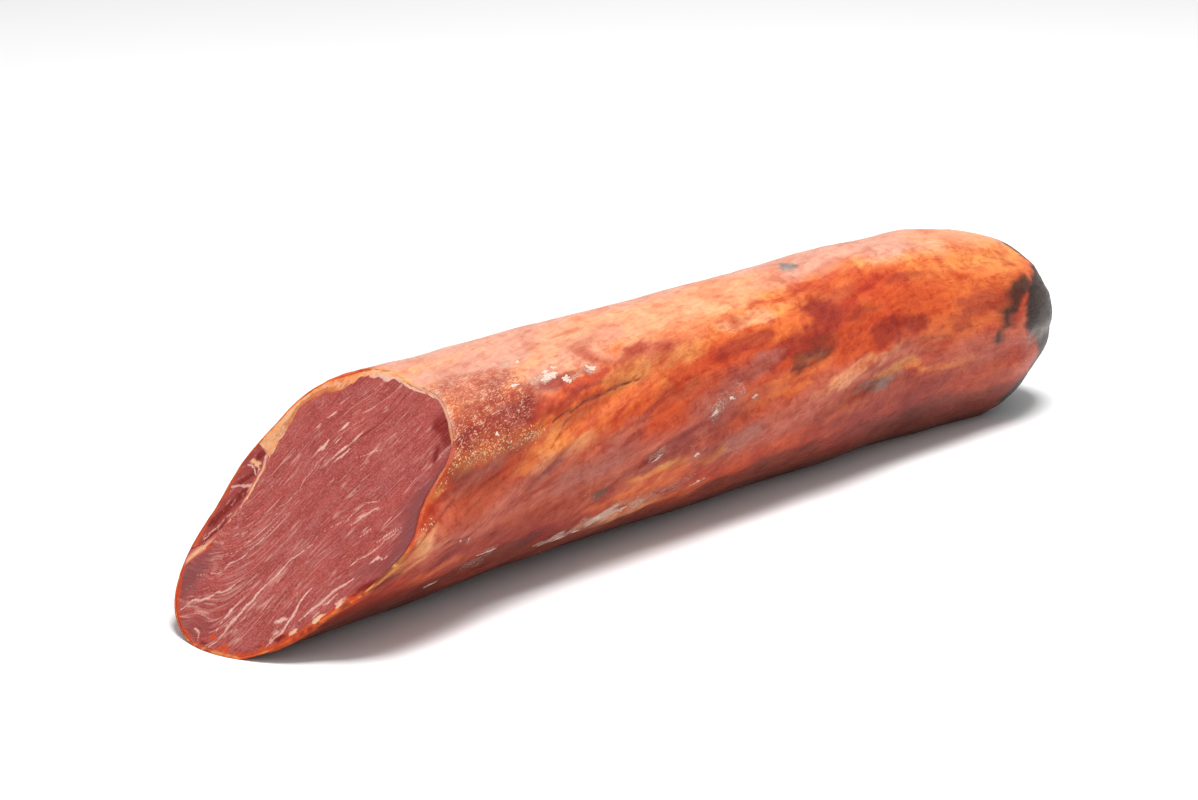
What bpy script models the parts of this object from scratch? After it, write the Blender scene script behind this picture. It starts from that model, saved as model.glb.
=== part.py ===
"""Half of a whole cured pork loin, lying on its underside.

The near end is cut on a slant, so that the eye muscle, the fat layer and the small side
muscle show there. The far end is the loin's own rounded end. The loin runs along X with
the cut towards -X, and it stands on Z = 0 on a narrow strip that its own weight has
flattened. Its surface is given in polar form: an angle around the loin, from 0 at the
back (+Y) over 90 at the top (+Z), and a length along it.
"""

from collections import namedtuple

import bmesh
import bpy
import numpy as np

MM = 0.001

# Driving dimensions
LOIN_RADIUS = 27.2 * MM
AXIS_HEIGHT = 26.2 * MM
CUT_RUN = 1.13
CUT_TURN = -0.11
LAYER_END = 218.0 * MM
END_START = 227.0 * MM
END_LENGTH = 31.0 * MM
END_BLUNTNESS = 2.9
END_DROP = 4.5 * MM
END_SWING = -3.6 * MM
END_BEND_START = 170.0 * MM
GAP = 0.35 * MM

# Fineness of the solids
LAYER_RINGS = 38
END_RINGS = 8
SKIN_POINTS = 40
FAT_SKIN_POINTS = 16
SEAM_POINTS = 8
CAP_POINTS = 15

# Angles, in degrees, that bound the layers at the skin
FAT_FRONT = 118.0
CAP_BACK = 17.0
SIDE_TOP = 15.0
SIDE_BOTTOM = -25.0
FAT_BOTTOM = -33.0
GAP_ANGLE = 0.9
NOTCH_ANGLE = 2.6
NOTCH_LENGTH = 14.0 * MM

Swell = namedtuple("Swell", "angle width height start end fade")
Fold = namedtuple("Fold", "start start_angle end end_angle width height")

# Broad swells and hollows of the section: angle and half width in degrees, height in
# millimetres, and, in millimetres along the loin, where each one starts and ends and how
# long it takes to come and go
SWELLS = {
    "flat top": Swell(99, 22, -3.1, -80, 150, 70),
    "fat shoulder": Swell(40, 13, 1.6, -80, 200, 60),
    "front shoulder": Swell(151, 13, 1.8, -80, 66, 34),
    "front lobe": Swell(186, 12, 4.0, -80, 44, 34),
    "lobe underside": Swell(203, 9, 1.6, -80, 26, 20),
    "back waist": Swell(-8, 13, -1.5, -80, 150, 50),
    "lower back": Swell(-46, 18, 0.9, -80, 220, 50),
    "middle hollow": Swell(243, 30, -0.8, 4, 110, 30),
    "far belly": Swell(236, 34, 1.1, 130, 262, 40),
    "far front": Swell(176, 30, 0.9, 70, 190, 34),
    "far hump": Swell(104, 30, 0.9, 156, 236, 30),
    "shrunk back": Swell(62, 34, -1.2, 70, 340, 50),
    "top dent": Swell(76, 16, -0.7, 184, 218, 16),
    "slack end": Swell(70, 40, -1.6, 214, 340, 24),
    "end undercut": Swell(238, 44, -4.5, 226, 340, 24),
}

# Long folds (raised) and creases (sunk) of the skin: where each starts and ends, in
# millimetres along and degrees around, its half width and its height in millimetres
FOLDS = {
    "dry edge": Fold(17, 157, 46, 151, 2.6, 0.7),
    "lower facet": Fold(2, 196, 64, 184, 3.2, -1.1),
    "overlap lip": Fold(48, 151, 84, 136, 3.4, 0.8),
    "overlap crease": Fold(50, 158, 86, 141, 2.4, -1.3),
    "slant fold low": Fold(28, 178, 58, 158, 2.6, 0.6),
    "slant crease low": Fold(30, 186, 64, 166, 2.4, -0.7),
    "long fold": Fold(66, 180, 128, 160, 3.6, 0.7),
    "long crease": Fold(62, 188, 134, 170, 2.8, -0.8),
    "bright ridge": Fold(144, 180, 178, 164, 3.0, 1.0),
    "bright crease": Fold(140, 186, 192, 172, 2.8, -0.9),
    "upper fold": Fold(108, 126, 152, 119, 4.0, 0.6),
    "upper crease": Fold(146, 134, 176, 128, 3.6, -0.7),
    "end pleat high": Fold(206, 132, 250, 124, 3.4, -0.8),
    "end pleat front": Fold(212, 190, 252, 180, 3.4, -1.0),
    "back crease": Fold(30, -22, 150, -34, 3.4, -0.9),
    "back fold": Fold(60, 6, 170, -6, 4.0, 0.8),
    "back end pleat": Fold(190, 20, 250, 8, 3.6, -0.9),
}

# Depth in millimetres of two layers under the skin, by angle in degrees
FAT_DEPTH = (
    (-33, 0.8), (-28, 4.6), (-20, 6.2), (-8, 6.8), (2, 7.6), (11, 7.3), (18, 6.2), (24, 5.0),
    (31, 3.3), (38, 2.3), (45, 2.6), (52, 3.3), (58, 3.5), (66, 2.6), (77, 2.8), (86, 1.3),
    (96, 0.9), (118, 0.7),
)  # fmt: skip
SIDE_DEPTH = ((-25, 3.4), (-19, 5.2), (-8, 5.7), (2, 6.5), (10, 6.1), (15, 5.6))


def bell(values):
    return np.exp(-np.square(values))


def ease(values):
    part = np.clip(values, 0.0, 1.0)
    return part * part * (3.0 - 2.0 * part)


def turned(angle):
    """The angle, in degrees, brought to between -180 and 180."""
    return (angle + 180.0) % 360.0 - 180.0


def eased_table(angle, table):
    """A smooth value in metres at each angle, from (angle, millimetres) pairs."""
    angles = np.array([row[0] for row in table], float)
    values = np.array([row[1] for row in table], float) * MM
    after = np.clip(np.searchsorted(angles, angle), 1, len(angles) - 1)
    before = after - 1
    part = ease((angle - angles[before]) / (angles[after] - angles[before]))
    return values[before] + part * (values[after] - values[before])


def swell_height(swell, angle, along):
    come = ease((along - swell.start * MM) / (swell.fade * MM))
    go = ease((swell.end * MM - along) / (swell.fade * MM))
    return swell.height * MM * bell(turned(angle - swell.angle) / swell.width) * come * go


def fold_height(fold, angle, along):
    """A straight line drawn on the unrolled skin, with a rounded section and soft ends."""
    reach = np.array([(fold.end - fold.start) * MM, np.radians(fold.end_angle - fold.start_angle)])
    reach[1] *= LOIN_RADIUS
    length = np.hypot(*reach)
    toward = reach / length
    across = np.radians(turned(angle - fold.start_angle)) * LOIN_RADIUS
    ahead = along - fold.start * MM
    run = ahead * toward[0] + across * toward[1]
    offset = across * toward[0] - ahead * toward[1]
    soft = 0.22 * length
    lasting = ease((run + soft) / (2.0 * soft)) * ease((length + soft - run) / (2.0 * soft))
    return fold.height * MM * bell(offset / (fold.width * MM)) * lasting


def skin_radius(angle, along):
    """The distance from the loin's axis to its skin."""
    radius = np.full(np.broadcast(angle, along).shape, LOIN_RADIUS)
    for swell in SWELLS.values():
        radius += swell_height(swell, angle, along)
    for fold in FOLDS.values():
        radius += fold_height(fold, angle, along)
    closing = np.clip((along - END_START) / END_LENGTH, 0.0, 1.0)
    return radius * (1.0 - closing**2) ** (1.0 / END_BLUNTNESS)


def section_points(angle, radius, along):
    """Points at these angles and distances from the axis, whose far end drops and swings."""
    bend = np.clip((along - END_BEND_START) / (END_START + END_LENGTH - END_BEND_START), 0.0, 1.0) ** 2
    turn = np.radians(angle)
    across = radius * np.cos(turn) + END_SWING * bend
    height = AXIS_HEIGHT + radius * np.sin(turn) - END_DROP * bend
    return np.stack([along + 0.0 * across, across, np.maximum(height, 0.0)], axis=-1)


def cut_plane_x(points):
    return CUT_RUN * (points[..., 2] - AXIS_HEIGHT) + CUT_TURN * points[..., 1]


def ring(angle, depth, share):
    """One ring of points under the skin. Share runs from 0 on the cut to 1 where the layers end."""
    along = np.zeros_like(angle)
    for _ in range(12):
        points = section_points(angle, skin_radius(angle, along) - depth, along)
        along = cut_plane_x(points) * (1.0 - share) + LAYER_END * share
    points[:, 0] = along
    return points


def layer_fade(share):
    """How thick the layers still are at this share of their length."""
    return 1.0 - 0.5 * ease((share - 0.35) / 0.65)


def notch(share):
    """The gap in degrees beside the top of the side muscle, which closes behind the cut."""
    return NOTCH_ANGLE * (1.0 - ease(share * LAYER_END / NOTCH_LENGTH))


def fat_depth(angle, share):
    return eased_table(angle, FAT_DEPTH) * layer_fade(share)


def side_depth(angle, share):
    return eased_table(angle, SIDE_DEPTH) * layer_fade(share)


def skin_angles():
    """The angles of the lean meat's own skin, from the front edge of the fat round below."""
    return np.linspace(FAT_FRONT + GAP_ANGLE, 360.0 + FAT_BOTTOM - GAP_ANGLE, SKIN_POINTS)


def bed_angles():
    """The angles of the bed in the lean meat that the fat lies in."""
    return np.linspace(FAT_BOTTOM - GAP_ANGLE, FAT_FRONT + GAP_ANGLE, CAP_POINTS + SEAM_POINTS)


def lean_ring(share):
    bed = bed_angles()
    depth = fat_depth(np.clip(bed, FAT_BOTTOM, FAT_FRONT), share) + GAP
    angle = np.concatenate([skin_angles(), bed])
    return ring(angle, np.concatenate([np.zeros(SKIN_POINTS), depth]), share)


def lean_end_ring(along):
    """A ring of the rounded end, where the lean meat reaches the skin all round."""
    angle = np.concatenate([skin_angles(), bed_angles()])
    bare = np.full(len(angle), along)
    return section_points(angle, skin_radius(angle, bare), bare)


def fat_ring(share):
    cap = np.linspace(FAT_FRONT, CAP_BACK + notch(share), FAT_SKIN_POINTS)
    seam = np.linspace(CAP_BACK - 1.0, SIDE_BOTTOM - GAP_ANGLE, SEAM_POINTS)
    lower_lip = np.array([SIDE_BOTTOM - 2.0 * GAP_ANGLE, FAT_BOTTOM])
    bed = np.linspace(FAT_BOTTOM, FAT_FRONT, CAP_POINTS + SEAM_POINTS)
    under_side = side_depth(np.clip(seam, SIDE_BOTTOM, SIDE_TOP), share) + GAP
    depth = [np.zeros(len(cap)), under_side, np.zeros(2), fat_depth(bed, share)]
    return ring(np.concatenate([cap, seam, lower_lip, bed]), np.concatenate(depth), share)


def side_ring(share):
    outer = np.linspace(SIDE_TOP - notch(share), SIDE_BOTTOM, SEAM_POINTS + 1)
    inner = outer[::-1]
    depth = np.concatenate([np.zeros(len(outer)), side_depth(inner, share)])
    return ring(np.concatenate([outer, inner]), depth, share)


def layer_rings(ring_of):
    return [ring_of(share) for share in np.linspace(0.0, 1.0, LAYER_RINGS)]


def lean_rings():
    steps = np.linspace(0.0, 1.0, END_RINGS + 1)[1:-1]
    start = LAYER_END + GAP
    rounded = [END_START + END_LENGTH * np.sin(0.5 * np.pi * step) for step in steps]
    return layer_rings(lean_ring) + [lean_end_ring(along) for along in [start, END_START, *rounded]]


def end_tip():
    tip = np.array(END_START + END_LENGTH)
    return section_points(np.array(0.0), np.array(0.0), tip)


def loft(name, rings, tip=None):
    """A closed mesh through rings of equal length, with a flat face or a fan at each end."""
    mesh = bpy.data.meshes.new(name)
    build = bmesh.new()
    rows = [[build.verts.new(point) for point in points] for points in rings]
    count = len(rows[0])
    for first, second in zip(rows, rows[1:]):
        for index in range(count):
            after = (index + 1) % count
            build.faces.new((first[index], first[after], second[after], second[index]))
    build.faces.new(rows[0][::-1])
    if tip is None:
        build.faces.new(rows[-1])
    else:
        point = build.verts.new(tip)
        for index in range(count):
            build.faces.new((rows[-1][index], rows[-1][(index + 1) % count], point))
    bmesh.ops.recalc_face_normals(build, faces=build.faces)
    build.to_mesh(mesh)
    build.free()
    return bpy.data.objects.new(name, mesh)


def finish_of(name, colour, roughness):
    material = bpy.data.materials.new(name)
    material.use_nodes = True
    shader = material.node_tree.nodes["Principled BSDF"]
    shader.inputs["Base Color"].default_value = (*colour, 1.0)
    shader.inputs["Roughness"].default_value = roughness
    shader.inputs["Metallic"].default_value = 0.0
    return material


def add_piece(collection, piece, material):
    piece.data.materials.append(material)
    piece.data.shade_smooth()
    piece.data.set_sharp_from_angle(angle=np.radians(40.0))
    collection.objects.link(piece)


def stand_on_origin(pieces):
    """Moves the meshes so that the middle of the whole box's underside is at the origin."""
    points = np.array([vertex.co for piece in pieces for vertex in piece.data.vertices])
    low, high = points.min(axis=0), points.max(axis=0)
    shift = np.array([(low[0] + high[0]) / 2.0, (low[1] + high[1]) / 2.0, low[2]])
    for piece in pieces:
        for vertex in piece.data.vertices:
            vertex.co = vertex.co - type(vertex.co)(shift)


def build_loin():
    for old in list(bpy.data.objects):
        bpy.data.objects.remove(old, do_unlink=True)
    collection = bpy.data.collections.new("cured_pork_loin")
    bpy.context.scene.collection.children.link(collection)
    lean = loft("lean_meat", lean_rings(), end_tip())
    fat = loft("fat_layer", layer_rings(fat_ring))
    side = loft("side_muscle", layer_rings(side_ring))
    add_piece(collection, lean, finish_of("cured lean", (0.42, 0.10, 0.09), 0.45))
    add_piece(collection, fat, finish_of("cured fat", (0.80, 0.46, 0.22), 0.50))
    add_piece(collection, side, finish_of("dark lean", (0.20, 0.03, 0.04), 0.45))
    stand_on_origin([lean, fat, side])


build_loin()
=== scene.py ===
"""Looks of half a cured pork loin: its cut face, its fat and its dried casing.

The loin runs along X with the slanted cut towards -X. Its surface is given in polar form:
an angle around it, from 0 at the back (+Y) over 90 at the top (+Z), and a length along it
from the middle of the cut. Sizes in the tables are in millimetres and degrees.
"""

from collections import namedtuple

import bmesh
import bpy
import numpy as np
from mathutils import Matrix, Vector


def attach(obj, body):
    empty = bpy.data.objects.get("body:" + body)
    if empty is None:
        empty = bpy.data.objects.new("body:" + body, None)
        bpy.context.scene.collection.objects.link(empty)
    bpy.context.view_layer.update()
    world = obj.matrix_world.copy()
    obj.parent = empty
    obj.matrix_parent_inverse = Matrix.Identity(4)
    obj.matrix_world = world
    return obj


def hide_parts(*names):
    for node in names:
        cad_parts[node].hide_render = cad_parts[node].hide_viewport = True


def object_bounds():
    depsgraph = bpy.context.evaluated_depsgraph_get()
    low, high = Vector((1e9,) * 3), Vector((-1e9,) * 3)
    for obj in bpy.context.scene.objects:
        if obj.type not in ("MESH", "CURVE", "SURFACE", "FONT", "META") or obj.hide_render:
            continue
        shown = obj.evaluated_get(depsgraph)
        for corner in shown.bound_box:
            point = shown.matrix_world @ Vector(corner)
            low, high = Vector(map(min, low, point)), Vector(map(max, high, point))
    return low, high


bl_info = {
    "name": "Cured pork loin",
    "version": (1, 0, 0),
    "blender": (4, 5, 0),
    "location": "View3D > Sidebar > Loin",
    "description": "Builds the casing, the cut face and the stage of a cured pork loin",
    "category": "Add Mesh",
}

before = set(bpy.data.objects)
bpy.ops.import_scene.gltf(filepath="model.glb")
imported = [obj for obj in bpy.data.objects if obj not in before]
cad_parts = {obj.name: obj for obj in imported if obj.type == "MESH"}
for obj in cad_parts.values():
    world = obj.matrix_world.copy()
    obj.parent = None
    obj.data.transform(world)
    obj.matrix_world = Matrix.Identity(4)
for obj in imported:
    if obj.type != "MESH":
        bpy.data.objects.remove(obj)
CAD_LOW, CAD_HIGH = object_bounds()

MM = 0.001

# The loin's own form, the same as in its solid model
LOIN_RADIUS = 27.2 * MM
AXIS_HEIGHT = 26.2 * MM
CUT_RUN = 1.13
CUT_TURN = -0.11
LAYER_END = 218.0 * MM
END_START = 227.0 * MM
END_LENGTH = 31.0 * MM
END_BLUNTNESS = 2.9
END_DROP = 4.5 * MM
END_SWING = -3.6 * MM
END_BEND_START = 170.0 * MM
FAT_FRONT = 118.0
CAP_BACK = 17.0
SIDE_TOP = 15.0
SIDE_BOTTOM = -25.0
FAT_BOTTOM = -33.0
NOTCH_ANGLE = 0.104
NOTCH_LENGTH = 14.0 * MM

# Tables by angle start here and run once round the loin
ROUND_START = -60.0

# How often a point is moved along the loin until it lies on the cut
SETTLING_ROUNDS = 12

# How finely the loin's width is measured to find the frame, round it and along it
MEASURED_AROUND = 721
MEASURED_ALONG = 60

# Rings of a hidden inner side: where it starts before the rounded end, and how many are there
INNER_END_START = END_START - 2.0 * MM
INNER_END_RINGS = 8

Swell = namedtuple("Swell", "angle width height start end fade")
Fold = namedtuple("Fold", "start start_angle end end_angle width height")

# Broad swells and straight folds of the skin
SWELLS = {
    "flat top": Swell(99, 22, -3.1, -80, 150, 70),
    "fat shoulder": Swell(40, 13, 1.6, -80, 200, 60),
    "front shoulder": Swell(151, 13, 1.8, -80, 66, 34),
    "front lobe": Swell(186, 12, 4.0, -80, 44, 34),
    "lobe underside": Swell(203, 9, 1.6, -80, 26, 20),
    "back waist": Swell(-8, 13, -1.5, -80, 150, 50),
    "lower back": Swell(-46, 18, 0.9, -80, 220, 50),
    "middle hollow": Swell(243, 30, -0.8, 4, 110, 30),
    "far belly": Swell(236, 34, 1.1, 130, 262, 40),
    "far front": Swell(176, 30, 0.9, 70, 190, 34),
    "far hump": Swell(104, 30, 0.9, 156, 236, 30),
    "shrunk back": Swell(62, 34, -1.2, 70, 340, 50),
    "top dent": Swell(76, 16, -0.7, 184, 218, 16),
    "slack end": Swell(70, 40, -1.6, 214, 340, 24),
    "end undercut": Swell(238, 44, -4.5, 226, 340, 24),
}

FOLDS = {
    "dry edge": Fold(17, 157, 46, 151, 2.6, 0.7),
    "lower facet": Fold(2, 196, 64, 184, 3.2, -1.1),
    "overlap lip": Fold(48, 151, 84, 136, 3.4, 0.8),
    "overlap crease": Fold(50, 158, 86, 141, 2.4, -1.3),
    "slant fold low": Fold(28, 178, 58, 158, 2.6, 0.6),
    "slant crease low": Fold(30, 186, 64, 166, 2.4, -0.7),
    "long fold": Fold(66, 180, 128, 160, 3.6, 0.7),
    "long crease": Fold(62, 188, 134, 170, 2.8, -0.8),
    "bright ridge": Fold(144, 180, 178, 164, 3.0, 1.0),
    "bright crease": Fold(140, 186, 192, 172, 2.8, -0.9),
    "upper fold": Fold(108, 126, 152, 119, 4.0, 0.6),
    "upper crease": Fold(146, 134, 176, 128, 3.6, -0.7),
    "end pleat high": Fold(206, 132, 250, 124, 3.4, -0.8),
    "end pleat front": Fold(212, 190, 252, 180, 3.4, -1.0),
    "back crease": Fold(30, -22, 150, -34, 3.4, -0.9),
    "back fold": Fold(60, 6, 170, -6, 4.0, 0.8),
    "back end pleat": Fold(190, 20, 250, 8, 3.6, -0.9),
}

# How deep the fat and the side muscle reach at the cut, by angle
FAT_DEPTH = (
    (-33, 0.8), (-28, 4.6), (-20, 6.2), (-8, 6.8), (2, 7.6), (11, 7.3), (18, 6.2), (24, 5.0),
    (31, 3.3), (38, 2.4), (45, 2.7), (52, 3.2), (58, 3.1), (66, 2.1), (77, 2.1), (86, 1.2),
    (96, 0.9), (118, 0.7),
)  # fmt: skip
SIDE_DEPTH = ((-25, 3.4), (-19, 5.2), (-8, 5.7), (2, 6.5), (10, 6.1), (15, 5.6))

# How thick the casing's edge shows at the cut, by angle
RIM_DEPTH = (
    (-60, 0.3), (-40, 0.3), (-20, 0.3), (0, 0.35), (20, 0.35), (60, 0.4), (95, 0.5), (130, 0.55),
    (150, 0.6), (165, 0.8), (185, 0.9), (200, 0.9), (225, 0.8), (245, 0.55), (280, 0.3), (300, 0.3),
)  # fmt: skip

# Cracks of the casing as lines of (along, angle) points, with a half width and a depth
Crack = namedtuple("Crack", "points width depth")
CRACKS = {
    "overlap": Crack(((47, 153), (53, 150), (58, 148), (65, 145), (74, 143.5), (86, 142)), 0.3, 0.5),
    "overlap branch": Crack(((39, 158.5), (43, 155), (47, 152), (51, 146), (56, 140), (62, 136)), 0.26, 0.2),
    "overlap spur": Crack(((48, 163), (51, 159.5), (54, 156), (58, 150)), 0.24, 0.28),
    "red streak one": Crack(((52, 146), (60, 141), (68, 139), (79, 141)), 0.3, 0.14),
    "red streak two": Crack(((55, 150), (62, 145.5), (70, 142)), 0.24, 0.12),
    "purple streak": Crack(((41, 179), (45, 174), (50, 168)), 0.7, 0.22),
    "pale edged": Crack(((56, 175.5), (63, 170), (70, 165.5), (80, 163), (92, 160)), 0.3, 0.14),
    "lower long": Crack(((43, 200), (50, 194), (62, 190), (76, 186), (88, 184)), 0.3, 0.14),
    "low crack one": Crack(((12, 187.5), (16, 188), (22, 190.5)), 0.3, 0.4),
    "low crack two": Crack(((17, 191), (22, 194), (30, 196), (36, 197)), 0.22, 0.24),
    "low crack three": Crack(((27, 186), (33, 184), (40, 181)), 0.24, 0.14),
    "facet edge": Crack(((14, 181), (22, 176), (31, 170), (40, 166)), 0.3, 0.14),
    "upper seam": Crack(((130, 122), (140, 121), (152, 120), (164, 121)), 0.4, 0.08),
    "rim hole": Crack(((-9, 200), (-6.5, 198.8), (-3.5, 197.6), (0, 196.5)), 0.5, 0.45),
    "rim crease": Crack(((-2, 190), (3, 184), (8, 179), (13, 174.5), (20, 167.5)), 0.3, 0.26),
    "green pit": Crack(((134, 162), (141, 161.5), (148, 160), (151, 157)), 0.9, 0.35),
    "far fold": Crack(((160, 146), (168, 142), (176, 143)), 0.8, 0.2),
    "far crease": Crack(((176, 168), (188, 166), (200, 170)), 0.7, 0.14),
    "ridge foot": Crack(((148, 190), (158, 186), (170, 184), (182, 186)), 0.7, 0.14),
}


def bell(values):
    """1 at zero, fading smoothly on both sides."""
    return np.exp(-np.square(values))


def ease(values):
    """0 up to zero, 1 from one on, and smooth between."""
    part = np.clip(values, 0.0, 1.0)
    return part * part * (3.0 - 2.0 * part)


def angles_round(count):
    """Even angles once round the loin."""
    return np.linspace(ROUND_START, ROUND_START + 360.0, count, endpoint=False)


def turned(angle):
    """The angle, in degrees, brought to between -180 and 180."""
    return (angle + 180.0) % 360.0 - 180.0


def eased_table(angle, table):
    """A smooth value in metres at each angle, from (angle, millimetres) pairs."""
    angles = np.array([row[0] for row in table], float)
    values = np.array([row[1] for row in table], float) * MM
    after = np.clip(np.searchsorted(angles, angle), 1, len(angles) - 1)
    before = after - 1
    part = ease((angle - angles[before]) / (angles[after] - angles[before]))
    return values[before] + part * (values[after] - values[before])


def swell_height(swell, angle, along):
    """A broad swell round one angle, with soft ends along the loin."""
    come = ease((along - swell.start * MM) / (swell.fade * MM))
    go = ease((swell.end * MM - along) / (swell.fade * MM))
    return swell.height * MM * bell(turned(angle - swell.angle) / swell.width) * come * go


def fold_height(fold, angle, along):
    """A straight line drawn on the unrolled skin, with a rounded section and soft ends."""
    reach = np.array([(fold.end - fold.start) * MM, np.radians(fold.end_angle - fold.start_angle)])
    reach[1] *= LOIN_RADIUS
    length = np.hypot(*reach)
    toward = reach / length
    across = np.radians(turned(angle - fold.start_angle)) * LOIN_RADIUS
    ahead = along - fold.start * MM
    run = ahead * toward[0] + across * toward[1]
    offset = across * toward[0] - ahead * toward[1]
    soft = 0.22 * length
    lasting = ease((run + soft) / (2.0 * soft)) * ease((length + soft - run) / (2.0 * soft))
    return fold.height * MM * bell(offset / (fold.width * MM)) * lasting


def closing_of(along):
    """How far the rounded end has closed, from 0 where it starts to 1 at its tip."""
    return np.clip((along - END_START) / END_LENGTH, 0.0, 1.0)


def skin_radius(angle, along):
    """The distance from the loin's axis to its skin."""
    radius = np.full(np.broadcast(angle, along).shape, LOIN_RADIUS)
    for swell in SWELLS.values():
        radius += swell_height(swell, angle, along)
    for fold in FOLDS.values():
        radius += fold_height(fold, angle, along)
    return radius * (1.0 - closing_of(along) ** 2) ** (1.0 / END_BLUNTNESS)


def section_points(angle, radius, along):
    """Points at these angles and distances from the axis, whose far end drops and swings."""
    bend = np.clip((along - END_BEND_START) / (END_START + END_LENGTH - END_BEND_START), 0.0, 1.0) ** 2
    turn = np.radians(angle)
    across = radius * np.cos(turn) + END_SWING * bend
    height = AXIS_HEIGHT + radius * np.sin(turn) - END_DROP * bend
    return np.stack([along + 0.0 * across, across, height], axis=-1)


def cut_plane_x(points):
    """Where the plane of the cut lies along the loin at each point."""
    return CUT_RUN * (points[..., 2] - AXIS_HEIGHT) + CUT_TURN * points[..., 1]


def cut_normal():
    """The direction in which the cut faces."""
    normal = np.array([-1.0, CUT_TURN, CUT_RUN])
    return normal / np.linalg.norm(normal)


def alongs_of(angle, depth, share):
    """Where points this deep lie along the loin, for a share from 0 on the cut to 1 at the layers' end."""
    along = np.zeros(np.broadcast(angle, depth, share).shape)
    for _ in range(SETTLING_ROUNDS):
        points = section_points(angle, skin_radius(angle, along) - depth, along)
        along = cut_plane_x(points) * (1.0 - share) + LAYER_END * share
    return along


def ring(angle, depth, share):
    """Points under the skin, of which those with share 0 lie on the cut."""
    along = alongs_of(angle, depth, share)
    return section_points(angle, skin_radius(angle, along) - depth, along)


# Noise for the shapes


def lattice(cells, seed):
    """A number from 0 to 1 for each whole-numbered cell, from its digits well mixed."""
    mixed = cells[..., 0] * 73856093 ^ cells[..., 1] * 19349663 ^ cells[..., 2] * 83492791 ^ seed * 2654435761
    mixed = (mixed ^ (mixed >> 13)) * 1274126177 & 0xFFFFFFFF
    mixed = (mixed ^ (mixed >> 15)) * 2246822519 & 0xFFFFFFFF
    return ((mixed ^ (mixed >> 14)) & 0xFFFFFF) / float(0xFFFFFF)


def lumps(places, seed):
    """Smooth noise from -1 to 1, with lumps one unit wide."""
    cells = np.floor(places).astype(np.int64)
    part = ease(places - cells)
    total = 0.0
    for corner in np.ndindex(2, 2, 2):
        weight = np.prod(np.where(np.array(corner, bool), part, 1.0 - part), axis=-1)
        total = total + weight * lattice(cells + np.array(corner), seed)
    return 2.0 * total - 1.0


def cloud(places, size, seed, octaves=3):
    """Lumps of a size in millimetres with finer ones on them, about -1 to 1.

    Each use has a seed of its own, so that no two patterns are alike.
    """
    total = 0.0
    for octave in range(octaves):
        total = total + lumps(places * (2.0**octave / size), seed + 17 * octave) * 0.55**octave
    return total


def unrolled(angle, along):
    """Places on the skin laid flat, in millimetres along and around it."""
    return np.stack([along / MM + 0.0 * angle, np.radians(angle) * LOIN_RADIUS / MM + 0.0 * along], axis=-1)


def rotated(places, turn):
    """Both coordinates of flat places, turned about zero by so many radians."""
    first, second = places[..., 0], places[..., 1]
    return first * np.cos(turn) - second * np.sin(turn), first * np.sin(turn) + second * np.cos(turn)


def wobble_of(places, amount, size, seed):
    """A small shift on the flat for each place, which makes the edges of drawn marks waver."""
    return amount * np.stack([cloud(places, size, seed), cloud(places, size, seed + 1)], axis=-1)


def line_distance(places, points):
    """The distance in millimetres to a line of points, and how far along it that is, from 0 to 1."""
    best = np.full(places.shape[:-1], 1e9)
    share = np.zeros(places.shape[:-1])
    steps = len(points) - 1
    for index in range(steps):
        start = np.array(points[index], float)
        reach = np.array(points[index + 1], float) - start
        part = np.clip(((places - start) @ reach) / (reach @ reach), 0.0, 1.0)
        away = np.linalg.norm(places - start - part[..., None] * reach, axis=-1)
        share = np.where(away < best, (index + part) / steps, share)
        best = np.minimum(best, away)
    return best, share


def to_flat(points):
    """(along, angle) pairs as places on the flattened skin."""
    return [(along, np.radians(angle) * LOIN_RADIUS / MM) for along, angle in points]


def crack_share(crack, flat, wobble):
    """How deep in a crack each place is, from 0 to 1. Its ends run out thin."""
    away, share = line_distance(flat + wobble, to_flat(crack.points))
    width = crack.width * (0.25 + 0.75 * np.sin(np.pi * np.clip(share, 0.04, 0.96)) ** 0.6)
    return bell(away / width)


# Layers under the skin


def layer_fade(share):
    """How thick the layers still are at this share of their length."""
    return 1.0 - 0.5 * ease((share - 0.35) / 0.65)


def notch(share):
    """The gap in degrees beside the top of the side muscle, which closes behind the cut."""
    return NOTCH_ANGLE * (1.0 - ease(share * LAYER_END / NOTCH_LENGTH))


def wavering(angle, size, seed):
    """Noise round the section, for the uneven edge between two layers."""
    turn = np.radians(angle)
    spread = LOIN_RADIUS / MM
    return cloud(np.stack([spread * np.cos(turn), spread * np.sin(turn), 0.0 * turn], axis=-1), size, seed)


def fat_depth(angle, share):
    """The depth of the fat's inner side."""
    uneven = (0.55 * wavering(angle, 3.4, 5) + 0.26 * wavering(angle, 1.1, 6)) * MM
    depth = eased_table(angle, FAT_DEPTH)
    return (depth + uneven * ease(depth / (2.0 * MM))) * layer_fade(share)


def side_depth(angle, share):
    """The depth of the side muscle's inner side."""
    uneven = 0.25 * wavering(angle, 1.6, 8) * MM
    return (eased_table(angle, SIDE_DEPTH) + uneven) * layer_fade(share)


def rim_depth(angle):
    """How thick the casing is at this angle."""
    within = (np.asarray(angle) - ROUND_START) % 360.0 + ROUND_START
    return eased_table(within, RIM_DEPTH) * (1.0 + 0.2 * wavering(angle, 2.5, 9))


# Meshes


def grid_faces(rows, columns, closed=False):
    """Quads between neighbours in rows of points."""
    across = np.arange(columns if closed else columns - 1)
    after = (across + 1) % columns
    down = np.arange(rows - 1)[:, None] * columns
    quads = np.stack([down + across, down + after, down + columns + after, down + columns + across], axis=-1)
    return quads.reshape(-1, 4)


def tube_faces(rows, around):
    """Quads between rings of points, and a face with many corners at each end."""
    first = np.arange(around)
    return grid_faces(rows, around, closed=True), [first[::-1], first + (rows - 1) * around]


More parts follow.
